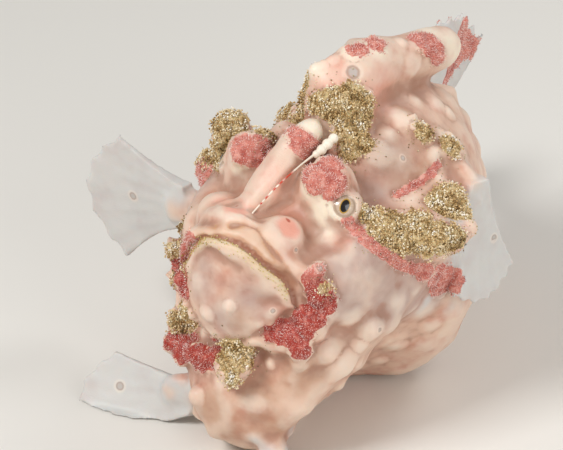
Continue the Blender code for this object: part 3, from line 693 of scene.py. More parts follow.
relief = {
    "warts": [  # pixel, radius and height in mm
        ((399, 118), 2.2, 0.55), ((409, 123), 1.2, 0.3), ((413, 66), 1.5, 0.35), ((437, 104), 1.6, 0.45),
        ((448, 112), 1.3, 0.4), ((437, 158), 1.6, 0.5), ((388, 134), 1.5, 0.35), ((424, 136), 1.5, 0.45),
        ((442, 136), 1.4, 0.4), ((415, 100), 1.2, 0.3), ((195, 396), 1.3, 0.7), ((271, 363), 0.8, 0.45),
        ((343, 366), 2.2, 0.9), ((325, 344), 2.4, 0.8), ((419, 310), 2.0, 0.45), ((370, 330), 2.0, 0.5),
        ((395, 300), 1.8, 0.45), ((350, 318), 1.8, 0.4), ((207, 314), 1.1, 0.55), ((229, 307), 0.8, 0.35),
        ((273, 311), 1.2, 0.3), ((205, 336), 1.6, 0.45), ((260, 325), 0.5, 0.2), ((222, 380), 1.4, 0.35),
        ((250, 400), 1.8, 0.35), ((330, 300), 1.2, 0.25), ((360, 345), 1.3, 0.35), ((395, 345), 1.6, 0.4),
        ((430, 325), 1.4, 0.35), ((380, 360), 1.2, 0.3), ((313, 68), 1.2, 0.4), ((322, 60), 0.8, 0.35),
        ((331, 55), 0.8, 0.35), ((343, 50), 0.9, 0.35), ((402, 42), 1.0, 0.35),
    ],
    "cones": [  # the same, for the prickly and gritty warts
        ((320, 292), 1.5, 1.0), ((309, 321), 1.5, 0.9), ((302, 349), 1.3, 1.0), ((291, 335), 1.1, 0.5),
        ((318, 272), 1.0, 0.4), ((173, 341), 1.3, 0.8), ((195, 352), 1.4, 0.8), ((182, 359), 1.0, 0.7),
        ((215, 357), 0.9, 0.6), ((233, 371), 2.0, 1.3), ((239, 348), 1.6, 0.7), ((176, 249), 1.1, 0.8),
        ((166, 279), 1.1, 0.8), ((167, 321), 1.1, 0.8), ((183, 318), 1.2, 0.7), ((318, 180), 1.4, 0.6),
        ((334, 186), 1.4, 0.6), ((330, 163), 1.5, 0.5), ((343, 170), 1.0, 0.4), ((248, 147), 2.2, 0.5),
        ((262, 155), 1.3, 0.4), ((454, 240), 1.6, 0.9), ((432, 246), 1.8, 0.6), ((405, 232), 2.0, 0.5),
        ((384, 222), 1.4, 0.5), ((452, 198), 1.9, 0.7), ((228, 120), 1.8, 0.7), ((345, 105), 1.9, 0.6),
        ((358, 125), 1.7, 0.6), ((322, 103), 1.4, 0.5), ((300, 108), 1.3, 0.5), ((352, 143), 1.4, 0.5),
        ((446, 280), 1.6, 0.5), ((426, 273), 1.2, 0.3),
    ],
    "folds": [  # pixels along each, width and depth in mm; a negative depth is a ridge
        ([(251, 211), (259, 215), (268, 213), (279, 207), (290, 201)], 0.55, 0.5),
        ([(232, 226), (246, 223), (257, 226), (266, 243), (276, 257), (285, 269), (294, 284)], 0.6, 0.55),
        (mouthLine, 0.5, 0.75),
        ([(189, 266), (195, 250), (205, 241), (219, 241), (236, 248), (250, 258), (260, 268), (272, 277),
          (282, 285), (287, 297)], 0.6, -0.3),
        ([(225, 229), (240, 235), (254, 245), (266, 256), (277, 264), (288, 272), (297, 287)], 0.7, -0.35),
        ([(396, 193), (412, 187), (430, 175), (441, 161)], 0.8, 0.6),
        ([(183, 330), (200, 340), (222, 345), (245, 341), (262, 333), (280, 322), (296, 310)], 0.7, 0.5),
        ([(346, 234), (335, 245), (322, 250), (309, 258)], 1.2, 0.6),
        ([(248, 203), (262, 190), (278, 176), (292, 163)], 0.5, -0.15),
    ],
    "wartSpread": 1.35, "coneSpread": 1.4,  # foot of a wart against its radius
    "nostrils": [(288, 228), (235, 209)],
    "nostrilFlat": (3.0, 40),  # reach in mm and smoothing steps
    "nostrilRing": (0.22, 1.9, 0.6),  # height, radius and width
    "nostrilPit": (0.1, 1.2), "nostrilBulb": (0.15, 3.6),  # height and radius
    "scattered": (4.8, (1.2, 2.2), (0.05, 0.15)),  # spacing, radii and heights in mm
    "tries": 6000, "hiddenFrom": 6,  # places tried, and how far back they may lie in the camera's sight
    "crimsonRise": 0.2, "crimsonLumps": (1.1, 0.3), "sandRise": 0.25, "sandLumps": (0.9, 0.75),
}


def scatteredWarts(points, quiet):
    # low warts spread over the rest of the body
    spacing, radii, heights = relief["scattered"]
    rng = np.random.default_rng(11)
    kept = []
    for i in rng.permutation(len(points))[:relief["tries"]]:
        place = points[i]
        if quiet[i] > 0.1 or place[1] < relief["hiddenFrom"] and seen(place):
            continue
        if any(np.linalg.norm(place - other) < spacing for other, *_ in kept):
            continue
        kept.append((place, rng.uniform(*radii), rng.uniform(*heights)))
    return kept


def wartShare(points, place, radius):
    return fadeOut(distances(points, place), relief["wartSpread"] * radius)


def flattenNostrils():
    points = pointsOf(skin)
    reach, steps = relief["nostrilFlat"]
    weight = np.zeros((len(points), 1))
    for place in trace(relief["nostrils"]):
        weight[:, 0] = np.maximum(weight[:, 0], fadeOut(distances(points, place), reach))
    setPoints(skin, smoothed(points, edgesOf(skin), 0.6 * weight, steps))


def carveRelief():
    flattenNostrils()
    points, normals = pointsOf(skin), normalsOf(skin)
    masks = markPoints(points)
    quiet = np.maximum(finMask(skin), np.maximum(masks["crimson"], masks["sand"]))
    warts = [(onSkin(pixel), radius, rise) for pixel, radius, rise in relief["warts"]]
    warts += scatteredWarts(points, quiet)
    height = np.zeros(len(points))
    for pixel, radius, rise in relief["cones"]:
        near = fadeOut(distances(points, onSkin(pixel)), relief["coneSpread"] * radius)
        height = np.maximum(height, rise * near**1.5)
    for place, radius, rise in warts:
        height = np.maximum(height, rise * wartShare(points, place, radius)**2)
    for pixels, width, depth in relief["folds"]:
        height -= depth * np.exp(-(pathDistance(points, trace(pixels)) / width)**2)
    ring, ringRadius, ringWidth = relief["nostrilRing"]
    (pit, pitRadius), (bulb, bulbRadius) = relief["nostrilPit"], relief["nostrilBulb"]
    for place in trace(relief["nostrils"]):
        away = distances(points, place)
        height += (ring * np.exp(-((away - ringRadius) / ringWidth)**2) - pit * fadeOut(away, pitRadius)
                   + bulb * fadeOut(away, bulbRadius))
    for name, seed in (("crimson", 21), ("sand", 31)):
        size, depth = relief[name + "Lumps"]
        waves = wobble(points, size, seed) + 0.5 * wobble(points, 2.3 * size, seed + 1)
        height += masks[name] * (relief[name + "Rise"] + depth * waves)
    height += 0.05 * wobble(points, 0.9, 41) + 0.02 * wobble(points, 2.2, 43)
    setPoints(skin, openEyes(points + normals * height[:, None]))
    return warts


def thinOut(obj, triangles):
    # thins the mesh out, least on the face
    points = pointsOf(obj)
    (behind, over), levels = skinPlan["thinBehind"], skinPlan["thinLevels"]
    keep = np.clip(1 - (points[:, 1] - behind) / over, 0, 1) * (points[:, 2] < skinPlan["thinAbove"])
    group = obj.vertex_groups.new(name="thin")
    for level in range(levels + 1):
        chosen = np.where(np.floor((1 - keep) * levels) == level)[0]
        group.add([int(i) for i in chosen], level / levels, "REPLACE")
    decimate(obj, triangles / triangleCount(obj), "thin")
    obj.vertex_groups.clear()


warts = carveRelief()
thinOut(skin, skinPlan["triangles"])
skinTree = lookup(skin)
print("skin carved:", triangleCount(skin), "triangles")


shading = {
    "wart": 0.5,  # mm of height at which a wart has its full colour
    "hollow": (6, 0.05, 0.9),  # painted shade in the small hollows: smoothing steps, depth in mm that counts in full, and the share lost on fins
    # painted shade in the broad dips and painted light on the swells, with the same three numbers
    "dip": (40, 0.16, 1),
    "blotches": (0.2, 0.9, 0.12, 0.1),  # crimson on the median fins: fineness of two waves, level, edge
    "blotchReach": 0.8,
    "nostrilWave": 0.4,
}


def hollowness(obj, steps):
    # above 0 where the skin is hollow, below 0 where it swells, in mm
    points, edges = pointsOf(obj), edgesOf(obj)
    mean = points
    for _ in range(steps):
        mean = 0.5 * mean + 0.5 * neighbourMean(mean, edges)
    return ((mean - points) * normalsOf(obj)).sum(axis=1)


def setAttribute(obj, name, values):
    layer = obj.data.attributes.new(name, "FLOAT", "POINT")
    layer.data.foreach_set("value", np.asarray(values, np.float32))


def markSkin():
    points = pointsOf(skin)
    masks = markPoints(points)
    masks["fin"] = finMask(skin)
    masks["wart"] = np.zeros(len(points))
    for place, radius, rise in warts:
        share = wartShare(points, place, radius)**2.5 * min(1.0, rise / shading["wart"])
        masks["wart"] = np.maximum(masks["wart"], share)
    # masks for painted shade in hollows and dips, and painted light on swells
    for name in ("hollow", "dip"):
        steps, depth, calm = shading[name]
        masks[name] = np.clip(hollowness(skin, steps) / depth, -1, 1) * (1 - calm * masks["fin"])
    for name in ("mauve", "brown", "pink"):
        masks[name] *= 1 - masks["fin"]
    reach = shading["blotchReach"]
    median = np.max([closeness(points, name, reach) for name in fins if name not in hands], axis=0)
    broad, fine, level, edge = shading["blotches"]
    blotch = np.clip(0.5 + (wobble(points, broad, 51) + 0.25 * wobble(points, fine, 52) - level) / edge, 0, 1)
    masks["crimson"] = np.maximum(masks["crimson"], blotch * median)
    masks["nostril"] = np.min([distances(points, place) for place in trace(relief["nostrils"])], axis=0)
    masks["nostril"] += shading["nostrilWave"] * wobble(points, 1.0, 61)
    masks["slit"] = np.min([distances(points, place) for place in trace(nostrilSlits)], axis=0)
    masks["spot"] = np.min([distances(points, onSkin(spot[:2])) / spot[2] for spot in eyeSpots], axis=0)
    masks["mouth"] = pathDistance(points, trace(mouthLine))
    for name, values in masks.items():
        setAttribute(skin, name, values)


markSkin()
print("skin marked")


# Materials

def colour(code):
    # linear colour of a six-digit sRGB code
    parts = [int(code[i:i + 2], 16) / 255 for i in (0, 2, 4)]
    return tuple(((c + 0.055) / 1.055)**2.4 if c > 0.04045 else c / 12.92 for c in parts) + (1.0,)


def addNode(tree, kind, inputs=None, **settings):
    made = tree.nodes.new(kind)
    for key, value in settings.items():
        setattr(made, key, value)
    for key, value in (inputs or {}).items():
        if isinstance(value, bpy.types.NodeSocket):
            tree.links.new(value, made.inputs[key])
        else:
            made.inputs[key].default_value = value
    return made


def mixed(tree, share, first, second):
    return addNode(tree, "ShaderNodeMix", {0: share, 6: first, 7: second}, data_type="RGBA").outputs[2]


def combined(tree, operation, first, second):
    return addNode(tree, "ShaderNodeMath", {0: first, 1: second}, operation=operation).outputs[0]


def reading(tree, name):
    return addNode(tree, "ShaderNodeAttribute", attribute_name=name).outputs["Fac"]


def ranged(tree, value, low, high, most=1.0):
    made = addNode(tree, "ShaderNodeMapRange", {0: value, 1: low, 2: high, 3: 0.0, 4: most},
                   interpolation_type="SMOOTHSTEP")
    return made.outputs[0]


def overlaid(tree, tint, paint, value, low, high, most=1.0):
    # the paint shows as the value goes from low to high
    return mixed(tree, ranged(tree, value, low, high, most), tint, paint)


def noisy(tree, scale, detail=3.0, rough=0.55):
    where = addNode(tree, "ShaderNodeTexCoord").outputs["Object"]
    inputs = {"Vector": where, "Scale": scale, "Detail": detail, "Roughness": rough}
    return addNode(tree, "ShaderNodeTexNoise", inputs).outputs["Fac"]


def newMaterial(name, **inputs):
    made = bpy.data.materials.new(name)
    made.use_nodes = True
    tree = made.node_tree
    shader = tree.nodes["Principled BSDF"]
    for key, value in inputs.items():
        shader.inputs[key.replace("_", " ")].default_value = value
    return made, tree, shader


skinLook = {  # sRGB codes
    "base": "dcb9a3", "flush": "cc9580", "ivory": "f3e8d2",
    # crimsonDeep is the red's dark patches and also its painted shade low on the jaw
    "crimson": "d07f70", "crimsonPale": "e6ac9d", "crimsonDeep": "a83b2e",
    # valley and hollow are painted shade; wart is the warts' pale colour and also painted light on the swells
    "sandDark": "a08353", "sandLight": "dcc697", "valleyShade": "b08573", "hollow": "a16f58", "wart": "f3e3d2",
    # brown is painted shade
    "mauve": "b39a92", "brown": "ad7f61", "pink": "eaa08d", "lip": "cf9a6e", "fin": "cdd1d0",
    "fringe": "c2ad58", "nostril": "ec9f8a", "slit": "b4452e", "spot": "93776a", "mouth": "9a5f45",
}
# the brown share is painted shade
skinShares = (("mauve", 0.75), ("brown", 0.5), ("pink", 0.5), ("lip", 0.6), ("wart", 0.4), ("ivory", 0.85),
              ("fin", 0.85), ("fringe", 0.5))
skinRings = (  # attribute, where the colour starts and is full, its share, and the colour
    ("nostril", 3.0, 1.6, 0.3, "wart"), ("nostril", 1.8, 0.9, 0.7, "nostril"),
    ("slit", 0.3, 0.12, 0.8, "slit"), ("spot", 1.7, 1.2, 0.3, "wart"), ("spot", 1.1, 0.8, 0.6, "spot"),
    ("spot", 0.75, 0.5, 0.4, "fin"), ("mouth", 0.45, 0.1, 0.75, "mouth"),
)


def skinMaterial():
    made, tree, shader = newMaterial(
        "frogfishSkin", Roughness=0.48, IOR=1.4, Coat_Weight=0.1, Coat_Roughness=0.3,
        Subsurface_Weight=0.25, Subsurface_Radius=(1.0, 0.5, 0.35), Subsurface_Scale=0.0011)
    broad, patch = noisy(tree, 240.0), noisy(tree, 650.0, 2.0)
    fine, grain = noisy(tree, 1500.0, 3.0, 0.6), noisy(tree, 5200.0, 2.0, 0.6)
    code = {key: colour(value) for key, value in skinLook.items()}
    tint = overlaid(tree, code["base"], code["flush"], broad, 0.45, 0.72)
    for name, strength in skinShares:
        tint = mixed(tree, combined(tree, "MULTIPLY", reading(tree, name), strength), tint, code[name])
    # painted shade in the dips and hollows, and painted light on the swells in the wart colour
    dip = combined(tree, "ADD", reading(tree, "dip"), broad)
    tint = overlaid(tree, tint, code["valleyShade"], dip, 0.35, 1.5, 0.5)
    tint = overlaid(tree, tint, code["wart"], dip, 0.55, -0.6, 0.38)
    tint = overlaid(tree, tint, code["hollow"], reading(tree, "hollow"), 0.1, 1.2, 0.45)
    # painted shade: the red darkens low on the jaw
    deep = reading(tree, "deep")
    red = mixed(tree, deep, code["crimson"], code["crimsonDeep"])
    red = overlaid(tree, red, mixed(tree, deep, code["crimsonPale"], code["crimson"]), fine, 0.45, 0.66)
    red = overlaid(tree, red, code["crimsonDeep"], patch, 0.5, 0.68, 0.6)
    sand = overlaid(tree, code["sandDark"], code["sandLight"], fine, 0.4, 0.6)
    for name, paint in (("crimson", red), ("sand", sand)):
        tint = overlaid(tree, tint, paint, combined(tree, "ADD", reading(tree, name), fine), 0.85, 1.1)
    for name, low, high, most, paint in skinRings:
        tint = overlaid(tree, tint, code[paint], reading(tree, name), low, high, most)
    tree.links.new(tint, shader.inputs["Base Color"])
    bump = addNode(tree, "ShaderNodeBump", {"Height": grain, "Strength": 0.3, "Distance": 0.00012})
    tree.links.new(bump.outputs["Normal"], shader.inputs["Normal"])
    return made


def intoFrame(obj):
    setPoints(obj, np.clip(toFrame(pointsOf(obj)), boxLow, boxHigh))


def dress(obj, material, slot, *nodes):
    obj.data.materials.clear()
    obj.data.materials.append(material)
    obj.data.shade_smooth()
    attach(obj, "root")
    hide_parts(*nodes)


# Coats of small raised things: prickles, grit and threads

def spike(sides, rings, radius, height, bend):
    # a thin cone that stands on its root; each point also has its height from 0 to 1
    points, tips, faces = [], [], []
    for ring in range(rings):
        t = ring / rings
        for k in range(sides):
            angle = 2 * math.pi * k / sides
            width = radius * (1 - 0.75 * t)
            across, along = width * math.cos(angle) + bend * t * t, width * math.sin(angle)
            points.append((across, along, height * (t - 0.15)))  # the foot stands a little inside the skin
            tips.append(t)
    points.append((bend, 0, height * 0.85))
    tips.append(1.0)
    for ring in range(rings - 1):
        for k in range(sides):
            a, b = ring * sides + k, ring * sides + (k + 1) % sides
            faces.append((a, b, b + sides, a + sides))
    last = (rings - 1) * sides
    faces += [(last + k, last + (k + 1) % sides, len(points) - 1) for k in range(sides)]
    return points, faces, tips


def grit(radius):
    # an eight-faced grain
    points = [(radius, 0, 0), (0, radius * 0.8, 0), (-radius * 0.9, 0, 0), (0, -radius, 0),
              (0, 0, radius * 0.9), (0, 0, -radius * 0.7)]
    faces = [(k, (k + 1) % 4, 4) for k in range(4)] + [((k + 1) % 4, k, 5) for k in range(4)]
    return points, faces, [0.5] * 4 + [1.0, 0.0]


coats = {  # sizes in mm
    "prickles": {"mask": "crimson", "shape": spike(4, 2, 0.065, 0.42, 0.04), "seed": 3, "lift": 0.0,
                 "spacing": 0.185, "density": 48.0, "smallest": 0.6, "largest": 1.2, "lean": 0.35},
    "grains": {"mask": "sand", "shape": grit(0.125), "seed": 5, "lift": 0.32,
               "spacing": 0.13, "density": 90.0, "smallest": 0.4, "largest": 1.5, "lean": 3.0},
    "threads": {"mask": "sand", "shape": spike(4, 3, 0.045, 0.9, 0.25), "seed": 7, "lift": 0.0,
                "spacing": 0.5, "density": 6.0, "smallest": 0.4, "largest": 1.2, "lean": 0.6},
    "dust": {"mask": "dust", "shape": grit(0.1), "seed": 11, "lift": 0.05,
             "spacing": 0.3, "density": 3.5, "smallest": 0.4, "largest": 1.4, "lean": 3.0},
    "lipGrains": {"mask": "fringe", "shape": grit(0.09), "seed": 9, "lift": 0.1,
                  "spacing": 0.2, "density": 30.0, "smallest": 0.4, "largest": 1.5, "lean": 3.0},
}
coatColours = {  # stops along each prickle, or from the darkest to the palest grain
    "prickles": ((0.0, "cf7468"), (0.3, "e09b8f"), (0.5, "f0c0b4"), (0.75, "faeee8"), (1.0, "fffaf4")),
    "grains": ((0.0, "86683c"), (0.15, "b08c55"), (0.35, "d3b27b"), (0.6, "e9d2a6"), (0.82, "f7ecd0"),
               (1.0, "fffaf0")),
    "dust": ((0.0, "6d5a35"), (0.5, "b49d66"), (1.0, "efe6c4")),
    "threads": ((0.0, "8b7343"), (0.5, "b49f63"), (1.0, "e0d0a0")),
    "lipGrains": ((0.0, "a8893a"), (0.5, "c9b460"), (1.0, "efe2a8")),
}
coatSizes = ("Spacing", "Density", "Smallest", "Largest", "Lean", "Lift")
guidePlan = {"share": 0.06, "angle": 1.1, "margin": 0.004, "tuft": 0.0015}  # the coats' UV map


def spreadTree():
    # scatters one small shape over the skin where its mask allows
    tree = bpy.data.node_groups.new("spread", "GeometryNodeTree")
    sockets = {}
    tree.interface.new_socket("Skin", in_out="INPUT", socket_type="NodeSocketGeometry")
    kinds = {"Shape": "Object", "Mask": "String", "Material": "Material"}
    kinds |= {label: "Float" for label in coatSizes} | {"Seed": "Int"}
    for label, kind in kinds.items():
        made = tree.interface.new_socket(label, in_out="INPUT", socket_type="NodeSocket" + kind)
        sockets[label] = made.identifier
    tree.interface.new_socket("Coat", in_out="OUTPUT", socket_type="NodeSocketGeometry")
    given = tree.nodes.new("NodeGroupInput").outputs
    mask = addNode(tree, "GeometryNodeInputNamedAttribute", {"Name": given["Mask"]}, data_type="FLOAT")
    spread = addNode(tree, "GeometryNodeDistributePointsOnFaces", {
        "Mesh": given["Skin"], "Distance Min": given["Spacing"], "Density Max": given["Density"],
        "Density Factor": mask.outputs["Attribute"], "Seed": given["Seed"]}, distribute_method="POISSON")
    shape = addNode(tree, "GeometryNodeObjectInfo", {"Object": given["Shape"]})
    span = {2: given["Smallest"], 3: given["Largest"], 8: given["Seed"]}
    size = addNode(tree, "FunctionNodeRandomValue", span, data_type="FLOAT")
    placed = addNode(tree, "GeometryNodeInstanceOnPoints", {
        "Points": spread.outputs["Points"], "Instance": shape.outputs["Geometry"],
        "Rotation": spread.outputs["Rotation"], "Scale": size.outputs[1]})
    rise = addNode(tree, "FunctionNodeRandomValue", {3: given["Lift"], 8: given["Seed"]}, data_type="FLOAT")
    up = addNode(tree, "ShaderNodeCombineXYZ", {"Z": rise.outputs[1]})
    lifted = addNode(tree, "GeometryNodeTranslateInstances", {
        "Instances": placed.outputs[0], "Translation": up.outputs[0]})
    back = combined(tree, "MULTIPLY", given["Lean"], -1.0)
    least = addNode(tree, "ShaderNodeCombineXYZ", {"X": back, "Y": back, "Z": -math.pi})
    most = addNode(tree, "ShaderNodeCombineXYZ", {"X": given["Lean"], "Y": given["Lean"], "Z": math.pi})
    span = {0: least.outputs[0], 1: most.outputs[0], 8: given["Seed"]}
    lean = addNode(tree, "FunctionNodeRandomValue", span, data_type="FLOAT_VECTOR")
    turned = addNode(tree, "GeometryNodeRotateInstances", {
        "Instances": lifted.outputs[0], "Rotation": lean.outputs[0]})
    real = addNode(tree, "GeometryNodeRealizeInstances", {0: turned.outputs[0]})
    painted = addNode(tree, "GeometryNodeSetMaterial", {
        "Geometry": real.outputs[0], "Material": given["Material"]})
    out = tree.nodes.new("NodeGroupOutput")
    tree.links.new(painted.outputs[0], out.inputs[0])
    return tree, sockets


def unwrapGuide():
    # a light copy of the skin, unwrapped, which says where each tuft's root lies on the flat
    guide = newObject("guide", pointsOf(skin), facesOf(skin))
    decimate(guide, guidePlan["share"])
    bpy.context.view_layer.objects.active = guide
    guide.select_set(True)
    bpy.ops.object.mode_set(mode="EDIT")
    bpy.ops.mesh.select_all(action="SELECT")
    bpy.ops.uv.smart_project(angle_limit=guidePlan["angle"], island_margin=guidePlan["margin"])
    bpy.ops.object.mode_set(mode="OBJECT")
    guide.data.calc_loop_triangles()
    points = [Vector(p) for p in pointsOf(guide)]
    layer = guide.data.uv_layers.active.data
    corners = [tuple(tri.vertices) for tri in guide.data.loop_triangles]
    flat = [tuple(layer[i].uv.to_3d() for i in tri.loops) for tri in guide.data.loop_triangles]
    bpy.data.objects.remove(guide)
    return BVHTree.FromPolygons(points, corners), points, corners, flat


def flatPlaces(roots, guide):
    tree, points, corners, flat = guide
    out = np.empty((len(roots), 2))
    for i, root in enumerate(roots):
        place, normal, index, away = tree.find_nearest(Vector(root))
        a, b, c = (points[v] for v in corners[index])
        out[i] = barycentric_transform(place, a, b, c, *flat[index])[:2]
    return out


def coatMaterial(name):
    made, tree, shader = newMaterial(name, Roughness=0.55)
    tip, tone = reading(tree, "tip"), reading(tree, "tone")
    ramp = tree.nodes.new("ShaderNodeValToRGB")
    tree.links.new(tip if name == "prickles" else tone, ramp.inputs[0])
    stops, (first, *others) = ramp.color_ramp.elements, coatColours[name]
    stops.remove(stops[1])
    stops[0].position, stops[0].color = first[0], colour(first[1])
    for position, code in others:
        stops.new(position).color = colour(code)
    tint = ramp.outputs[0]
    if name == "prickles":
        red = colour(skinLook["crimsonDeep"])
        tint = overlaid(tree, tint, red, tone, 0.6, 0.05, 0.6)
        # painted shade: the prickles' feet turn dark red low on the jaw
        foot = ranged(tree, tip, 0.75, 0.2, 0.75)
        tint = mixed(tree, combined(tree, "MULTIPLY", foot, reading(tree, "deep")), tint, red)
    tree.links.new(tint, shader.inputs["Base Color"])
    return made


def growCoat(name, tree, sockets, guide):
    plan = coats[name]
    points, faces, tips = plan["shape"]
    shape = newObject(name + "Shape", points, faces)
    setAttribute(shape, "tip", tips)
    coat = bpy.data.objects.new(name, skin.data.copy())
    bpy.context.scene.collection.objects.link(coat)
    spread = coat.modifiers.new("spread", "NODES")
    spread.node_group = tree
    settings = {"Shape": shape, "Mask": plan["mask"], "Material": coatMaterial(name)}
    settings |= {label: plan[label.lower()] for label in (*coatSizes, "Seed")}
    for label, value in settings.items():
        spread[sockets[label]] = value
    bakeModifiers(coat)
    rows = pointsOf(coat).reshape(-1, len(points), 3)
    roots = rows.mean(axis=1)
    local = np.array(points)[:, :2]
    local = local / max(np.abs(local).max(), 1e-6) * guidePlan["tuft"]
    uv = (flatPlaces(roots, guide)[:, None, :] + local[None, :, :]).reshape(-1, 2)
    corners = np.empty(len(coat.data.loops), np.int32)
    coat.data.loops.foreach_get("vertex_index", corners)
    layer = coat.data.uv_layers.new(name="OFBake")
    layer.data.foreach_set("uv", uv[corners].astype(np.float32).ravel())
    tone = np.random.default_rng(plan["seed"]).random(len(rows))
    if name in ("grains", "prickles"):  # light and dark patches
        waves = 0.75 * wobble(roots, 0.8, 71) + 0.3 * wobble(roots, 2.5, 72)
        tone = np.clip(0.5 * tone + 0.25 + waves, 0, 1)
    setAttribute(coat, "tone", np.repeat(tone, len(points)))
    bpy.data.objects.remove(shape)
    intoFrame(coat)
    coat.data.shade_smooth()
    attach(coat, "root")
    print(name, len(rows), "pieces,", triangleCount(coat), "triangles")


def growCoats():
    tree, sockets = spreadTree()
    guide = unwrapGuide()
    for name in coats:
        growCoat(name, tree, sockets, guide)


growCoats()
intoFrame(skin)
dress(skin, skinMaterial(), "skin", *fleshNodes)
print("skin painted")


# Small round shapes

def tube(places, radii, steps, sides):
    # a round rod through the places; the radii are spread over its length
    shares = np.linspace(0, 1, steps + 1)
    middle = np.array([catmull(places, share) for share in shares])
    along = np.gradient(middle, axis=0)
    across = np.cross(along, (0.3, 0.2, 1.0))
    points, faces = [], []
    for k in range(steps + 1):
        a = unit(across[k])
        b = unit(np.cross(along[k], a))
        radius = np.interp(shares[k], np.linspace(0, 1, len(radii)), radii)
        for j in range(sides):
            angle = 2 * math.pi * j / sides
            points.append(middle[k] + radius * (a * math.cos(angle) + b * math.sin(angle)))
    for k in range(steps):
        for j in range(sides):
            a, b = k * sides + j, k * sides + (j + 1) % sides
            faces.append((a, a + sides, b + sides, b))
    faces += [tuple(range(sides)), tuple(range((steps + 1) * sides - 1, steps * sides - 1, -1))]
    return np.array(points), faces


# Eyes

eyeRings = (  # attribute, where the colour starts and is full, and the colour
    ("radial", 0.95, 1.15, "ring"), ("radial", 1.2, 1.6, "rim"),
    ("pupil", 1.3, 1.2, "gold"), ("pupil", 1.06, 0.98, "pupil"),
)


def eyeMaterial():
    made, tree, shader = newMaterial(
        "wetEye", Roughness=0.25, IOR=1.4, Coat_Weight=1.0, Coat_Roughness=0.03,
        Subsurface_Weight=0.15, Subsurface_Radius=(1.0, 0.6, 0.4), Subsurface_Scale=0.0005)
    code = {key: colour(value) for key, value in eyeLook.items() if isinstance(value, str)}
    inputs = {"W": reading(tree, "around"), "Scale": 9.0, "Detail": 2.0}
    streaks = addNode(tree, "ShaderNodeTexNoise", inputs, noise_dimensions="1D").outputs["Fac"]
    tint = overlaid(tree, code["window"], code["streak"], streaks, 0.35, 0.7)
    for name, low, high, paint in eyeRings:
        tint = overlaid(tree, tint, code[paint], reading(tree, name), low, high)
    tree.links.new(tint, shader.inputs["Base Color"])
    return made


def makeEyes():
    material = eyeMaterial()
    lean = math.radians(eyeLook["pupilLean"])
    for name, side in sides.items():
        centre, aim = eyeCentre(side), pupilAim(side)
        points, faces, flat = dome(centre, eyeLook["radius"], aim, *eyeLook["rings"])
        facing = np.clip((points - centre) @ aim / eyeLook["radius"], 0, 1)
        points = centre + (points - centre) * (1 + eyeLook["cornea"] * facing**8)[:, None]
        eye = newObject("wetEye_" + name, toFrame(points), faces)
        across = flat[:, 0] * math.cos(lean) - side * flat[:, 1] * math.sin(lean)
        high = side * flat[:, 0] * math.sin(lean) + flat[:, 1] * math.cos(lean)
        wide, tall = eyeLook["pupilHalf"]
        setAttribute(eye, "pupil", np.hypot(across / wide, high / tall))
        setAttribute(eye, "radial", np.hypot(flat[:, 0], flat[:, 1]))
        setAttribute(eye, "around", np.arctan2(flat[:, 1], flat[:, 0]))
        dress(eye, material, "eye", name)


makeEyes()
print("eyes made")


# Lure and its rod

lureLook = {
    "path": [(0.9, -7.5, -0.8), (2.3, -4.7, 2.2), (3.0, -1.4, 4.0), (3.4, 1.0, 4.9)],
    "radii": (0.1, 0.1, 0.1, 0.11, 0.18),
    "steps": (120, 12),  # along the rod and round it
    # red dashes: middle and half length, as shares of the rod
    "dashes": [(0.17, 0.012), (0.235, 0.018), (0.33, 0.02), (0.42, 0.028), (0.52, 0.06)],
    "lobes": [(3.5, 1.3, 4.9, 0.5), (3.7, 2.0, 5.3, 0.62), (3.9, 2.8, 5.8, 0.66), (4.2, 3.5, 6.4, 0.6)],
    "voxel": 0.09, "easing": 30,
    "white": "f3ead9", "red": "c9432b",
}


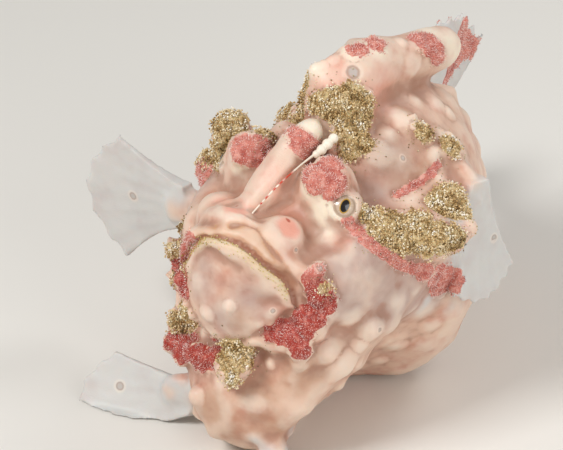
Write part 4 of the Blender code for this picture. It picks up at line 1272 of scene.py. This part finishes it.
def makeLure():
    along, around = lureLook["steps"]
    rod = newObject("lureRod", *tube(lureLook["path"], lureLook["radii"], along, around))
    share = np.repeat(np.linspace(0, 1, along + 1), around)
    red = np.zeros(len(share))
    for middle, half in lureLook["dashes"]:
        red = np.maximum(red, np.clip(1.5 - np.abs(share - middle) / half, 0, 1))
    setAttribute(rod, "red", red)
    intoFrame(rod)
    made, tree, shader = newMaterial("rodSkin", Roughness=0.35)
    tint = mixed(tree, reading(tree, "red"), colour(lureLook["white"]), colour(lureLook["red"]))
    tree.links.new(tint, shader.inputs["Base Color"])
    dress(rod, made, "lure_rod", "illicium")

    balls = [dome(np.array(lobe[:3]), lobe[3], (0, 0, 1), 12, 16)[:2] for lobe in lureLook["lobes"]]
    lure = joined("lureFlesh", balls)
    voxelSkin(lure, lureLook["voxel"])
    ease(lure, lureLook["easing"])
    intoFrame(lure)
    made = newMaterial("lureWhite", Base_Color=colour(lureLook["white"]), Roughness=0.4)[0]
    dress(lure, made, "lure_flesh", "lure")


makeLure()
print("lure made")


# Camera, light and floor

studio = {
    "lamps": {  # place in mm, size in mm, watts
        "key": ((-60, -300, 300), 150, 1.3),
        "fill": ((330, -40, 110), 240, 0.5),
        "rear": ((60, 300, 260), 200, 0.45),
    },
    "target": (0, 10, -15),
    "sky": "f2f1ee", "skyStrength": 0.36,
    "floor": "e6e3dd", "floorHalf": 1.5,  # metres
}


def setOut(name, data, place, way):
    made = bpy.data.objects.new(name, data)
    bpy.context.scene.collection.objects.link(made)
    made.location = toFrame(place)
    made.rotation_mode = "QUATERNION"
    made.rotation_quaternion = way.to_track_quat("-Z", "Y")
    return made


def setCamera():
    back = viewAxes()[2]
    data = bpy.data.cameras.new("camera")
    data.sensor_width = 36.0
    data.lens = data.sensor_width * photo["pixelsPerMm"] * photo["distance"] / photo["width"]
    data.shift_x = (photo["middle"][0] - photo["midEye"][0]) / photo["width"]
    data.shift_y = (photo["midEye"][1] - photo["middle"][1]) / photo["width"]
    data.clip_start, data.clip_end = 0.01, 10
    bpy.context.scene.camera = setOut("camera", data, back * photo["distance"], Vector(-back))


def setLight():
    world = bpy.data.worlds.new("studio")
    bpy.context.scene.world = world
    world.use_nodes = True
    sky = world.node_tree.nodes["Background"]
    sky.inputs["Color"].default_value = colour(studio["sky"])
    sky.inputs["Strength"].default_value = studio["skyStrength"]
    for name, (place, size, watts) in studio["lamps"].items():
        data = bpy.data.lights.new(name, "AREA")
        data.energy, data.size = watts, size * mm
        setOut(name, data, place, Vector(toFrame(studio["target"])) - Vector(toFrame(place)))


def setFloor():
    half = studio["floorHalf"]
    corners = [(-half, -half, 0), (half, -half, 0), (half, half, 0), (-half, half, 0)]
    floor = newObject("floor", corners, [(0, 1, 2, 3)])
    made = newMaterial("paleFloor", Base_Color=colour(studio["floor"]), Roughness=0.8)[0]
    floor.data.materials.append(made)


bpy.context.scene.view_settings.view_transform = "Standard"
setCamera()
setLight()
setFloor()
